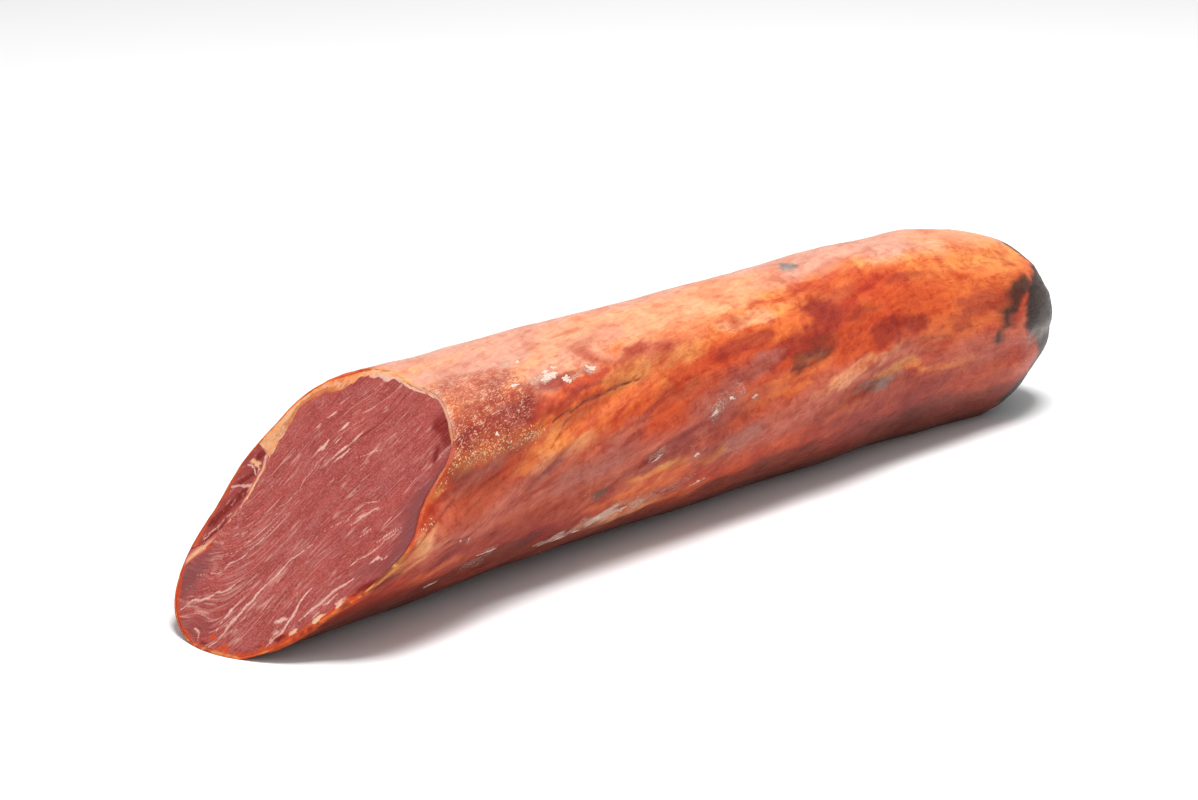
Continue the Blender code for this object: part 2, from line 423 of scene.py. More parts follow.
def new_piece(name, points, faces, finish, replaced=()):
    """A shaded mesh object at the frame's own place, which rides on the loin's one body."""
    mesh = bpy.data.meshes.new(name)
    mesh.from_pydata(points.reshape(-1, 3).tolist(), [], [face.tolist() for face in faces])
    mesh.validate()
    mesh.materials.append(finish)
    mesh.shade_smooth()
    piece = bpy.data.objects.new(name, mesh)
    bpy.context.scene.collection.objects.link(piece)
    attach(piece, "root")
    if replaced:
        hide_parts(*replaced)
    return piece


def outward(piece):
    """Turns the faces so that they all look out."""
    build = bmesh.new()
    build.from_mesh(piece.data)
    bmesh.ops.recalc_face_normals(build, faces=build.faces)
    build.to_mesh(piece.data)
    build.free()


def add_values(piece, **marks):
    """Keeps numbers for each vertex by name, for the finish to read."""
    for name, values in marks.items():
        layer = piece.data.attributes.new(name, "FLOAT", "POINT")
        layer.data.foreach_set("value", np.asarray(values, np.float32).ravel())


def add_vectors(piece, name, vectors):
    """Keeps a vector for each vertex, for the finish to read."""
    layer = piece.data.attributes.new(name, "FLOAT_VECTOR", "POINT")
    layer.data.foreach_set("vector", vectors.astype(np.float32).ravel())


def add_colours(piece, name, colours):
    """Keeps a colour for each vertex, for the finish to read."""
    layer = piece.data.attributes.new(name, "FLOAT_COLOR", "POINT")
    four = np.concatenate([colours, np.ones((len(colours), 1))], axis=1)
    layer.data.foreach_set("color", four.astype(np.float32).ravel())


def add_map(piece, name, places):
    """A UV map from one place for each vertex."""
    layer = piece.data.uv_layers.new(name=name)
    corners = np.empty(len(piece.data.loops), np.int32)
    piece.data.loops.foreach_get("vertex_index", corners)
    layer.data.foreach_set("uv", np.asarray(places, np.float32)[corners].ravel())


# The casing's skin


def drift(along):
    """How far the grain of the casing has climbed round the loin, in millimetres.

    It climbs near the cut, hardly at all from the middle on, and a little before the cap.
    """
    steps = np.arange(-60.0, 270.0)
    slope = 0.28 - 0.2 * ease((steps - 85.0) / 40.0)
    slope += 0.16 * bell((steps - 165.0) / 20.0) - 0.16 * ease((steps - 185.0) / 25.0)
    return np.interp(along / MM, steps, np.cumsum(slope))


def strand_space(angle, along, extra=0.0):
    """Places for noise that follow the grain: points with the same turn lie on one strand."""
    turn = np.radians(angle) + (drift(along) + extra * along / MM) * MM / LOIN_RADIUS
    spread = LOIN_RADIUS / MM * (1.0 - closing_of(along) ** 2) ** (1.0 / END_BLUNTNESS)
    return np.stack([along / MM + 0.0 * turn, spread * np.cos(turn), spread * np.sin(turn)], axis=-1)


def stretched(places, times):
    """Places for noise whose lumps are so many times longer along the loin."""
    return places / np.array([times, 1.0, 1.0])


def oval(flat, along, angle, length, width, climb=0.0):
    """The distance from the middle of an oval on the flattened skin, which is 1 on its edge."""
    offset = flat - np.array(to_flat([(along, angle)])[0])
    run, side = rotated(offset, np.radians(climb))
    return np.hypot(run / length, side / width)


# Where the casing is finely wrinkled: along, angle, half length, half width, climb, how soft its
# edge is and strength
DRY_PLACES = (
    (32, 129, 21, 11.5, 10, 0.8, 1.0),
    (84, 150, 34, 12, 8, 1.0, 0.35),
    (178, 152, 22, 12, 4, 1.0, 0.25),
    (88, 196, 40, 9, 6, 1.0, 0.3),
)

# The grey crust along the dry edge, as (along, angle) points, with its half width
CRUST_LINE = ((18, 157.5), (24, 155.5), (31, 155), (38, 154.5), (46, 153.5))
CRUST_WIDTH = 1.5

# The casing's relief in millimetres
LUMP_RELIEF = 0.30
RIDGE_RELIEF = 0.20
FOLD_RELIEF = 0.10
WRINKLE_RELIEF = 0.04
DRY_RELIEF = 0.13
CRUST_RELIEF = 0.35
PLEAT_RELIEF = 0.09

# How high a crack's lips stand as a share of its depth, and how deep a crack must be to get the full painted
# shade inside it
LIP_SHARE = 0.25
DARK_CRACK = 0.45


def dryness(flat):
    """Where the casing is finely wrinkled, from 0 to 1."""
    shares = [
        strength * ease((1.5 - oval(flat, *place)) / softness) for *place, softness, strength in DRY_PLACES
    ]
    return np.maximum.reduce(shares)


def crust_share(flat, wobble):
    """How near the grey crust that runs along the dry edge, from 0 to 1."""
    away, _ = line_distance(flat + wobble, to_flat(CRUST_LINE))
    return bell(away / CRUST_WIDTH)


def end_pleats(angle, along):
    """Shallow pleats that gather towards the tip."""
    closing = closing_of(along)
    turn = np.radians(angle)
    wave = np.cos(9.0 * turn + 1.3 * np.sin(2.0 * turn) + 0.6) + 0.6 * np.cos(16.0 * turn + 2.0)
    return PLEAT_RELIEF * wave * ease((closing - 0.15) / 0.5) * (1.0 - ease((closing - 0.93) / 0.07))


def casing_relief(angle, along):
    """Heights of the casing over its plain form in millimetres, and how much painted shade each place gets
    from the cracks, more in deeper ones.
    """
    flat = unrolled(angle, along)
    strands = strand_space(angle, along)
    wobble = wobble_of(strands, 0.55, 4.0, 31)
    dry = dryness(flat)
    height = LUMP_RELIEF * cloud(stretched(strands, 2.5), 9.0, 21, 2)
    folds = cloud(stretched(strands, 6.0), 3.4, 22)
    height += RIDGE_RELIEF * (0.55 - np.abs(folds)) + FOLD_RELIEF * folds
    wrinkles = cloud(stretched(strand_space(angle, along, 0.35), 2.4), 1.25, 23, 2)
    height += (WRINKLE_RELIEF + DRY_RELIEF * dry) * wrinkles
    height += end_pleats(angle, along)
    height += CRUST_RELIEF * crust_share(flat, wobble) * (0.7 + 0.6 * cloud(strands, 0.9, 24, 2))
    crease = np.zeros(height.shape)
    for crack in CRACKS.values():
        inside = crack_share(crack, flat, wobble)
        lips = LIP_SHARE * inside**0.15 * (inside > 0.0) * bell(1.0 - inside)
        height += crack.depth * (lips - inside)
        # Painted shade: the deeper the crack, the darker it is painted.
        crease = np.maximum(crease, inside * min(1.0, crack.depth / DARK_CRACK))
    return height, crease


def skin_places(angle, along):
    """Points on the loin's plain skin."""
    return section_points(angle, skin_radius(angle, along), along)


def skin_normals(angle, along):
    """Where the plain skin faces. At the very tip it faces ahead."""
    step = 0.5 * MM
    around = skin_places(angle + 1.0, along) - skin_places(angle - 1.0, along)
    ahead = skin_places(angle, along + step) - skin_places(angle, along - step)
    normal = np.cross(around, ahead)
    tip = ease((closing_of(along) - 0.985) / 0.015)[..., None]
    normal = normal / np.maximum(np.linalg.norm(normal, axis=-1, keepdims=True), 1e-12)
    normal = normal * (1.0 - tip) + np.array([1.0, 0.0, 0.0]) * tip
    return normal / np.linalg.norm(normal, axis=-1, keepdims=True)


def raised(angle, along, height):
    """Points so many millimetres over the plain skin, none of them lower than where the loin lies."""
    return resting(skin_places(angle, along) + height[..., None] * MM * skin_normals(angle, along))


def casing_places(angle, along, extra):
    """Points extra millimetres over the finished casing, with its relief."""
    height, _ = casing_relief(angle, along)
    return raised(angle, along, height + extra)


def resting(points, least=0.0):
    """The same points, with none lower than so many millimetres over where the loin lies."""
    points[..., 2] = np.maximum(points[..., 2], least * MM)
    return points


def frame_shift():
    """What takes the loin's own places to the frame's."""
    angle = np.linspace(0.0, 360.0, MEASURED_AROUND)[None, :]
    share = np.linspace(0.0, 1.0, MEASURED_ALONG)[:, None]
    across = ring(angle, 0.0, share)[..., 1]
    middle = 0.5 * (across.min() + across.max())
    tip = END_START + END_LENGTH
    return np.array([CAD_HIGH.x - tip, 0.5 * (CAD_LOW.y + CAD_HIGH.y) - middle, 0.0])


# Colours of the casing

# Patches in the order in which they are laid: colour, place along the loin, angle, half length,
# half width, climb in degrees and strength
PATCHES = (
    # The pale rose and peach along the top are partly the casing's own pale tone and partly a painted sheen.
    ("rose", 70, 80, 120, 10, 0, 0.9), ("peach", 70, 88, 60, 4, 0, 0.5), ("rose", 190, 92, 60, 8, 0, 0.8),
    ("rose", 52, 104, 24, 9, 22, 0.8), ("plum", 68, 98, 4, 2.0, 20, 0.4),
    ("peach", 56, 118, 12, 3.4, 12, 0.8), ("peach", 66, 130, 9, 2.0, 10, 0.8),
    ("peach", 84, 104, 30, 8, 16, 0.6), ("salmon", 82, 109, 18, 4.5, 14, 0.45),
    ("salmon", 132, 104, 22, 5, 4, 0.4), ("salmon", 168, 111, 16, 3, 4, 0.4),
    ("peach", 118, 106, 30, 9, 8, 0.85), ("orange", 108, 123, 14, 3.5, 4, 0.5),
    ("salmon", 66, 122, 12, 3, 14, 0.5), ("peach", 88, 126, 10, 3, 12, 0.8),
    ("peach", 76, 112, 11, 4, 14, 0.45), ("peach", 41, 118, 7, 3, 14, 0.5),
    ("peach", 33, 89, 3.2, 1.8, 20, 0.9), ("salmon", 38, 122, 12, 6, 25, 0.7),
    ("rust", 44, 137, 10, 3, 16, 0.6), ("rose", 70, 120, 26, 5, 20, 0.55),
    ("plum", 38, 128, 11, 4, 25, 0.45), ("peach", 32, 131, 5, 3, 20, 0.5),
    ("plum", 58, 133, 5, 2.6, 10, 0.8), ("brick", 62, 131, 8, 1.8, 8, 0.75),
    ("rust", 80, 92, 4, 1.0, 4, 0.45), ("rust", 84, 136, 22, 5, 10, 0.75),
    ("salmon", 88, 132, 14, 3, 16, 0.45), ("straw", 97, 143, 12, 5, 12, 0.6),
    ("rust", 36, 140, 16, 5, 8, 0.85), ("brick", 40, 145, 13, 3.2, 8, 0.85),
    ("plum", 38, 142, 7, 3.0, 8, 0.75), ("rust", 24, 148, 12, 3.4, 8, 0.9),
    ("rust", 10, 141, 10, 5.0, 8, 0.75), ("brick", 14, 150, 8, 2.0, 8, 0.6),
    ("amber", 29, 151, 9, 1.6, 6, 0.6), ("flame", 66, 138, 18, 2.4, 8, 0.7),
    ("brick", 62, 143, 14, 1.4, 10, 0.7), ("brick", 34, 147, 10, 3, 8, 0.7),
    ("orange", 59, 157, 18, 4.4, 14, 0.95), ("amber", 58, 158.5, 11, 3.6, 14, 1.0),
    ("peach", 68, 154, 9, 2.4, 14, 0.75), ("orange", 76, 150, 18, 4.6, 8, 0.9),
    ("flame", 78, 157, 16, 1.8, 10, 0.5), ("moss", 22, 160, 4.5, 1.2, 10, 0.45),
    ("rust", 30, 165, 16, 3.6, 14, 0.8), ("flame", 30, 168, 16, 1.4, 18, 0.5),
    ("plum", 26, 164, 9, 1.8, 14, 0.5), ("salmon", 26, 183, 20, 6, 8, 0.9),
    ("salmon", 48, 184, 14, 4, 12, 0.7), ("rust", 24, 174, 9, 3, 14, 0.75),
    ("amber", 42, 164, 6, 2.2, 20, 0.5), ("flame", 6, 182, 4, 2.4, 20, 0.5),
    ("rust", 46, 173, 8, 2.0, 26, 0.8), ("plum", 50, 171, 8, 1.4, 26, 0.6),
    ("peach", 46, 167.5, 5, 1.8, 20, 0.4), ("peach", 59, 166.5, 6, 2.2, 16, 0.4),
    ("salmon", 66, 172, 18, 2.6, 16, 0.8), ("plum", 64, 178, 16, 3.4, 12, 0.6),
    ("flame", 8, 173, 9, 2.4, 34, 0.95), ("straw", 11, 168, 4, 1.2, 30, 0.6),
    ("salmon", 16, 174, 9, 1.0, 32, 0.7), ("rust", 5, 182.5, 4, 2.2, 20, 0.5),
    ("rust", 15, 178.5, 6, 1.8, 20, 0.6), ("peach", 3, 188, 6.0, 2.6, 16, 1.0),
    ("straw", 1, 190, 5.0, 1.6, 16, 0.6), ("flame", -2, 202, 7, 2.4, 10, 0.8),
    # The dark brick and ember patches low at the underside are partly painted shade.
    ("rust", 40, 200, 30, 4, 6, 0.8), ("brick", 20, 212, 40, 8, 0, 0.9),
    ("ember", 40, 228, 60, 8, 0, 0.75), ("rust", 14, 207, 16, 2.2, 6, 0.7),
    ("ember", 34, 211.5, 10, 1.8, 5, 0.6), ("ember", 20, 214.5, 13, 1.3, 5, 0.55),
    ("orange", 12, 204, 9, 1.0, 8, 0.5), ("moss", 63, 193, 3.6, 1.0, 8, 0.8),
    ("amber", 84, 193, 9, 1.6, 4, 0.9), ("straw", 88, 191, 6, 1.2, 4, 0.8),
    ("straw", 80, 205, 6, 1.4, 6, 0.7), ("peach", 80, 213, 12, 2.6, 6, 0.85),
    ("rose", 66, 215, 8, 2.0, 6, 0.75), ("orange", 100, 211, 10, 2.0, 6, 0.8),
    ("rust", 120, 218, 40, 4, 0, 0.7), ("ember", 134, 214, 24, 4.0, 2, 0.5),
    ("rust", 80, 226, 60, 3, 0, 0.4), ("ember", 150, 230, 90, 8, 0, 0.7),
    ("orange", 86, 200, 26, 2.2, 6, 0.75), ("rust", 88, 206, 30, 2.4, 4, 0.6),
    ("plum", 90, 183, 14, 2.4, 12, 0.6), ("brick", 100, 180, 16, 2.0, 14, 0.6),
    ("amber", 100, 148, 8, 3.0, 10, 0.45), ("amber", 94, 147, 6, 2.2, 10, 0.4),
    ("rust", 108, 152, 20, 6, 8, 0.85), ("flame", 108, 144, 20, 2.4, 6, 0.7),
    ("peach", 134, 127, 16, 2.4, 0, 0.95), ("amber", 138, 132, 16, 2.6, 0, 0.9),
    ("flame", 128, 141, 26, 4.6, 2, 0.9), ("orange", 138, 143, 10, 3.0, 2, 0.5),
    ("flame", 150, 123.5, 22, 0.9, -1, 0.8), ("amber", 130, 127.5, 15, 2.4, 0, 1.0),
    ("orange", 134, 138, 18, 3.4, 2, 0.9), ("brick", 158, 137, 12, 7, 10, 0.95),
    ("brick", 134, 151, 18, 4.0, 8, 0.9), ("brick", 122, 142, 12, 2.4, 2, 0.75),
    ("peach", 127, 128.5, 9, 1.8, 0, 1.0), ("brick", 130, 156, 16, 3.0, 8, 0.6),
    ("straw", 82, 138, 8, 3.6, 10, 0.6), ("plum", 126, 152, 7, 2.0, 8, 0.8),
    ("brick", 142, 156, 11, 3.6, 6, 0.8), ("ember", 147, 153, 6.0, 2.6, 8, 0.5),
    ("moss", 144, 158.5, 6.5, 2.2, 4, 1.0), ("moss", 146, 158, 4, 1.5, 4, 1.0),
    ("plum", 112, 163, 14, 4, 8, 0.7), ("brick", 112, 174, 22, 1.8, 6, 0.75),
    ("salmon", 105, 180, 7, 2.4, 12, 0.55), ("orange", 134, 165, 18, 3.6, 8, 0.9),
    ("flame", 126, 160, 12, 1.8, 8, 0.8), ("ember", 138, 158.8, 5.0, 2.0, 4, 0.7),
    ("salmon", 142, 179, 24, 4.6, 8, 0.85), ("peach", 160, 171, 16, 1.5, 10, 0.75),
    ("peach", 160, 181.5, 6, 2.0, 8, 0.4), ("plum", 112, 189, 12, 2.8, 8, 0.75),
    ("straw", 104, 192, 3.4, 1.6, 12, 0.85), ("flame", 128, 202, 26, 3.2, 4, 0.7),
    ("orange", 156, 191, 10, 1.6, 16, 0.7), ("rust", 164, 195, 22, 4.5, 6, 0.8),
    ("slate", 159, 97, 4.0, 1.6, 40, 0.95), ("flame", 160, 121, 22, 3.2, 2, 0.85),
    ("orange", 170, 128, 10, 3.0, 4, 0.7), ("flame", 164, 150, 16, 3.6, 10, 0.9),
    ("brick", 168, 142, 7, 1.3, 6, 0.8), ("flame", 188, 138, 22, 9, 0, 0.9),
    ("amber", 200, 132, 16, 3.0, 0, 0.6), ("amber", 222, 134, 16, 6, 4, 0.95),
    ("straw", 226, 130, 9, 3, 4, 0.45), ("rust", 222, 152, 7, 3.4, 4, 0.6),
    ("orange", 206, 150, 22, 7, 2, 0.8), ("flame", 195, 147, 9, 4.0, 2, 0.7),
    ("flame", 181, 133, 12, 3.4, 0, 0.8), ("rust", 165, 129, 7, 2.2, 4, 0.5),
    ("brick", 190, 131, 7, 1.4, -6, 0.6), ("brick", 175, 157, 5, 2.6, 10, 0.85),
    ("brick", 187, 158, 5, 2.2, 6, 0.85), ("rust", 176, 165, 6, 2.2, 6, 0.5),
    ("rust", 202, 162, 7, 3, 4, 0.6), ("amber", 152, 125.5, 9, 2, 0, 0.45),
    ("rust", 213, 156, 10, 4.0, 4, 0.85), ("orange", 204, 166, 18, 3.0, 0, 0.75),
    ("brick", 205, 163.5, 5, 2.0, 4, 0.55), ("brick", 172, 173, 5, 1.2, 4, 0.7),
    ("straw", 176, 178, 9, 1.4, 0, 0.7), ("slate", 168, 183, 7, 1.4, 4, 0.65),
    ("amber", 196, 183, 17, 1.0, -4, 0.75), ("salmon", 208, 182, 14, 2.4, -4, 0.7),
    ("rust", 196, 191, 18, 3.0, -2, 0.6), ("brick", 200, 200, 30, 5, 0, 0.85),
    ("brick", 166, 208, 16, 6, 4, 0.75), ("ember", 166, 214, 12, 4, 4, 0.5),
    ("ember", 192, 207, 10, 3, 4, 0.45), ("plum", 207, 107, 8, 2.4, 6, 0.35),
    ("peach", 222, 104, 20, 7, 0, 0.7), ("rust", 215, 200, 18, 6, 0, 0.75),
    ("flame", 210, 196, 10, 3, 4, 0.45), ("ember", 206, 216, 34, 5, 0, 0.65),
    ("salmon", 231, 194, 8, 4.0, 6, 0.95), ("flame", 226, 190, 3, 3.0, 6, 0.6),
)  # fmt: skip

# The plain colour round the loin, by angle. Its darkening towards the underside is partly the casing's own
# dark tone and partly painted shade
GROUND = (
    # The rose along the top is partly a painted sheen.
    (-60, "brick"), (-20, "rust"), (20, "orange"), (60, "rose"), (100, "rose"), (120, "amber"),
    (138, "orange"), (160, "flame"), (180, "salmon"), (198, "rust"), (210, "brick"), (222, "ember"),
    (262, "ember"), (300, "brick"),
)  # fmt: skip

# Where the dark cap of the far end begins along the loin, by angle
CAP_EDGE = (
    (-60, 236), (-10, 240), (40, 238), (90, 233), (102, 237), (110, 240.5), (120, 243), (130, 245),
    (138, 242), (146, 238.5), (152, 233.5), (161, 230.5), (167, 230.5), (174, 230.5), (184, 236),
    (192, 238), (204, 236), (210, 230), (218, 226), (260, 230), (300, 236),
)  # fmt: skip

# The dark streak that runs down beside the cap, as (along, angle) points
CAP_STREAK = ((236, 147), (230, 151), (226, 159), (222, 168), (218.5, 177))

# The colour of the casing's cut edge, by angle
RIM_GROUND = (
    (-60, "rust"), (-45, "flame"), (-25, "rust"), (0, "rust"), (20, "orange"), (45, "orange"),
    (62, "flame"), (80, "peach"), (92, "peach"), (118, "rose"), (138, "rose"), (150, "salmon"),
    (158, "rust"), (166, "flame"), (183, "flame"), (190, "straw"), (197, "straw"), (203, "flame"),
    (214, "orange"), (226, "flame"), (262, "flame"), (280, "rust"), (300, "rust"),
)  # fmt: skip


def table_colour(angle, table, palette):
    """A smooth colour at each angle, from (angle, colour name) pairs."""
    angles = np.array([row[0] for row in table], float)
    shades = np.array([palette[row[1]] for row in table])
    after = np.clip(np.searchsorted(angles, angle), 1, len(angles) - 1)
    part = ease((angle - angles[after - 1]) / (angles[after] - angles[after - 1]))[..., None]
    return shades[after - 1] * (1.0 - part) + shades[after] * part


def laid_over(colours, shade, share):
    """The colours with a shade over them by a share for each place."""
    return colours * (1.0 - share[..., None]) + np.array(shade) * share[..., None]


def streakiness(flat):
    """Where the casing's colours run in streaks along its creases, from 0 to 1, and aren't blotchy."""
    return ease(1.7 - oval(flat, 52, 178, 56, 12, 14))


def liveliness(angle):
    """How much the colours vary round the loin: the top is calm."""
    return 0.5 + 0.5 * ease((angle - 104.0) / 20.0)


def casing_colours(angle, along, palette):
    """The colour of each place on the casing: its ground, the patches on it and the grain over them."""
    strands = strand_space(angle, along)
    broad = cloud(stretched(strands, 1.6), 10.0, 41)
    blotch = cloud(stretched(strands, 1.5), 5.0, 47, 4)
    grain = cloud(stretched(strands, 5.0), 3.0, 42, 4)
    fine = cloud(stretched(strands, 2.0), 1.4, 43)
    warp = np.stack([3.2 * cloud(strands, 7.0, 45), 1.3 * cloud(stretched(strands, 2.0), 4.5, 46)], axis=-1)
    places = unrolled(angle, along)
    mixed = blotch + streakiness(places) * (grain - blotch)
    colours = table_colour(angle + 12.0 * broad, GROUND, palette)
    for shade, *place, strength in PATCHES:
        away = oval(places + warp, *place) + 0.26 * mixed + 0.12 * fine
        colours = laid_over(colours, palette[shade], strength * ease((1.35 - away) / 0.7))
    lively = liveliness(angle)
    tints = (
        ((1.14, 1.3, 1.28), 0.7, (mixed - 0.2) / 0.6),
        ((0.76, 0.43, 0.34), 0.9, (-mixed - 0.2) / 0.6),
        ((0.85, 0.6, 0.55), 0.4, (fine - 0.3) / 0.5),
    )
    for tint, strength, share in tints:
        colours = laid_over(colours, colours * np.array(tint), strength * lively * ease(share))
    colours = laid_over(colours, palette["straw"], 0.3 * crust_share(places, 0.3 * warp))
    return cap_colours(np.minimum(colours, 0.85), angle, along, palette, mixed, fine)


def cap_colours(colours, angle, along, palette, grain, fine):
    """Lays the dark dried cap of the far end over the colours, its streak, and a painted grey sheen on the
    cap.
    """
    ragged = 1.3 * grain + 0.8 * fine
    cap = ease((along / MM - eased_table(angle, CAP_EDGE) / MM + ragged) / 3.0)
    away, share = line_distance(unrolled(angle, along), to_flat(CAP_STREAK))
    streak = ease(1.7 - (away + 0.45 * ragged) / (2.3 - 0.7 * share))
    painted_sheen = bell((angle - 181.0) / 6.5) * ease((along / MM - 229.0) / 6.0) * ease((252.0 - along / MM) / 9.0)
    colours = laid_over(colours, palette["coal"], 0.97 * np.maximum(cap, 0.92 * streak))
    # The slate laid here is a painted sheen: a painted reflection of the light on the cap.
    return laid_over(colours, palette["slate"], 0.8 * painted_sheen * ease(0.7 + grain))


# Finishes


class Wire:
    """A socket in a tree of nodes. Sums on wires add Math nodes, so a finish reads as plain sums."""

    def __init__(self, tree, socket):
        self.tree = tree
        self.socket = socket

    def sum_with(self, operation, first, second=0.0):
        return self.tree.add("ShaderNodeMath", {"operation": operation}, {0: first, 1: second})

    def __add__(self, other):
        return self.sum_with("ADD", self, other)

    def __radd__(self, other):
        return self.sum_with("ADD", other, self)

    def __sub__(self, other):
        return self.sum_with("SUBTRACT", self, other)

    def __rsub__(self, other):
        return self.sum_with("SUBTRACT", other, self)

    def __mul__(self, other):
        return self.sum_with("MULTIPLY", self, other)

    def __rmul__(self, other):
        return self.sum_with("MULTIPLY", other, self)

    def __abs__(self):
        return self.sum_with("ABSOLUTE", self)


class NodeTree:
    """Adds nodes to a tree and joins them."""

    def __init__(self, tree):
        self.nodes = tree.nodes
        self.links = tree.links

    def join(self, socket, value):
        """Links a wire to a socket, or sets the socket's own value."""
        if isinstance(value, Wire):
            self.links.new(value.socket, socket)
        else:
            socket.default_value = value

    def add(self, kind, settings=None, sockets=None, output=0):
        """Adds a node, sets its settings and then its sockets, and gives back one of its outputs."""
        node = self.nodes.new(kind)
        for name, value in (settings or {}).items():
            setattr(node, name, value)
        for name, value in (sockets or {}).items():
            self.join(node.inputs[name], value)
        return Wire(self, node.outputs[output])


class Finish(NodeTree):
    """A material under construction."""

    def __init__(self, name):
        self.material = bpy.data.materials.new(name)
        self.material.use_nodes = True
        super().__init__(self.material.node_tree)
        self.shader = self.nodes["Principled BSDF"]

    def colour(self, name):
        """A colour kept for each vertex."""
        return self.add("ShaderNodeAttribute", {"attribute_name": name}, output=0)

    def vector(self, name):
        """A vector kept for each vertex."""
        return self.add("ShaderNodeAttribute", {"attribute_name": name}, output=1)

    def value(self, name):
        """A number kept for each vertex."""
        return self.add("ShaderNodeAttribute", {"attribute_name": name}, output=2)

    def object_place(self):
        """The place on the object in metres."""
        return self.add("ShaderNodeTexCoord", output=3)

    def noise(self, vector, scale, detail, roughness=0.5, distortion=0.0):
        """Noise about 0.5 over a vector, which is scaled by one number or by three."""
        scales = scale if isinstance(scale, tuple) else (scale, scale, scale)
        places = self.add("ShaderNodeVectorMath", {"operation": "MULTIPLY"}, {0: vector, 1: scales})
        sockets = {"Vector": places, "Scale": 1.0, "Detail": detail, "Roughness": roughness}
        return self.add("ShaderNodeTexNoise", None, {**sockets, "Distortion": distortion})

    def step(self, value, low, high):
        """0 under low, 1 over high, and smooth between."""
        sockets = {"Value": value, "From Min": low, "From Max": high}
        return self.add("ShaderNodeMapRange", {"interpolation_type": "SMOOTHSTEP"}, sockets)

    def thread(self, noise, sharpness):
        """Thin lines, 1 where the noise crosses its middle."""
        return self.step(1.0 - sharpness * abs(noise - 0.5), 0.0, 1.0)

    def over(self, share, ground, top, way="MIX"):
        """Lays a colour over another one by a share."""
        settings = {"data_type": "RGBA", "blend_type": way}
        return self.add("ShaderNodeMix", settings, {0: share, 6: full(ground), 7: full(top)}, output=2)

    def layers(self, shade, *rows):
        """Lays colours over a shade in turn, each by a share and by a step from low to high."""
        for share, value, low, high, top in rows:
            shade = self.over(share * self.step(value, low, high), shade, top)
        return shade

    def bump(self, height, strength, distance):
        sockets = {"Height": height, "Strength": strength, "Distance": distance}
        return self.add("ShaderNodeBump", None, sockets)

    def wear(self, colour, roughness, specular, normal=None):
        """Sets the shader's own sockets and gives back the material."""
        sockets = {"Base Color": colour, "Roughness": roughness, "Specular IOR Level": specular}
        if normal is not None:
            sockets["Normal"] = normal
        for name, value in sockets.items():
            self.join(self.shader.inputs[name], value)
        return self.material


def full(colour):
    """A colour with its alpha, or a wire as it is."""
    return colour if isinstance(colour, Wire) else (*tuple(colour)[:3], 1.0)


def casing_finish(colours):
    """Dried casing: its kept paint, mottled deeper and paler, with dry wrinkles, dust and cracks; painted
    highlights on the wrinkles' tops, and painted shade in their valleys and in the cracks.
    """
    finish = Finish("dried_casing")
    strands = finish.vector("strand")
    lively = finish.value("lively")
    blotch = finish.noise(strands, (0.13, 0.16, 0.16), 4.0, 0.6, 0.8)
    mottle = finish.noise(strands, (0.34, 0.42, 0.42), 5.0, 0.62, 0.6)
    long_grain = finish.noise(strands, (0.14, 0.75, 0.75), 4.0, 0.6, 0.4)
    short_grain = finish.noise(strands, (0.9, 1.9, 1.9), 4.0, 0.62)
    pores = finish.noise(strands, (2.2, 3.2, 3.2), 2.0, 0.6)
    wrinkles = finish.noise(strands, (1.1, 3.5, 3.5), 2.0, 0.55, 0.5)
    lines = finish.noise(strands, (0.07, 0.40, 0.40), 3.0, 0.5, 0.4)
    wrinkle_zone = finish.step(finish.value("dry"), 0.45, 0.9)
    sparkle = wrinkles + 0.4 * (pores - 0.5) + 0.6 * (0.5 - mottle)
    powder = finish.value("bloom") + 1.1 * (pores - 0.5) + 0.7 * (short_grain - 0.5)
    dust = finish.step(powder, 0.42, 0.85)
    paint = finish.colour("paint")
    deep = finish.over(1.0, paint, (0.70, 0.36, 0.28), "MULTIPLY")
    pale = finish.over(1.0, paint, (1.18, 1.38, 1.40), "MULTIPLY")
    shade = finish.layers(
        paint,
        (lively * 0.55, blotch, 0.50, 0.66, deep),
        (lively * 0.6, 1.0 - blotch, 0.52, 0.68, pale),
        (lively * 0.55, mottle, 0.52, 0.68, deep),
        (0.5, 1.0 - mottle, 0.54, 0.68, pale),
        (lively * 0.4, long_grain, 0.53, 0.68, deep),
        (0.45, 1.0 - long_grain, 0.54, 0.70, pale),
        (lively * 0.35, short_grain, 0.54, 0.70, deep),
        (0.4, 1.0 - short_grain, 0.56, 0.72, pale),
        (lively * 0.55 * finish.thread(lines, 16.0), mottle, 0.42, 0.60, deep),
        # In the wrinkled zone the valleys get painted shade and the tops cream painted highlights.
        (wrinkle_zone * 0.65, 1.0 - wrinkles, 0.50, 0.62, deep),
        (wrinkle_zone * 0.62, sparkle, 0.56, 0.66, colours.cream),
    )
    shade = finish.over(dust * 0.8, shade, colours.bloom)
    # Painted shade inside the cracks, darkest in the deepest.
    shade = finish.over(finish.value("crease") * 0.85, shade, colours.crack)
    height = long_grain * 0.35 + short_grain * 0.4 + wrinkles * (0.1 + wrinkle_zone * 0.7) + dust * 0.3
    rough = 0.40 + 0.25 * (mottle - 0.5) + 0.3 * dust + 0.12 * (pores - 0.5)
    return finish.wear(shade, rough, 0.22, finish.bump(height, 0.7, 0.0007))


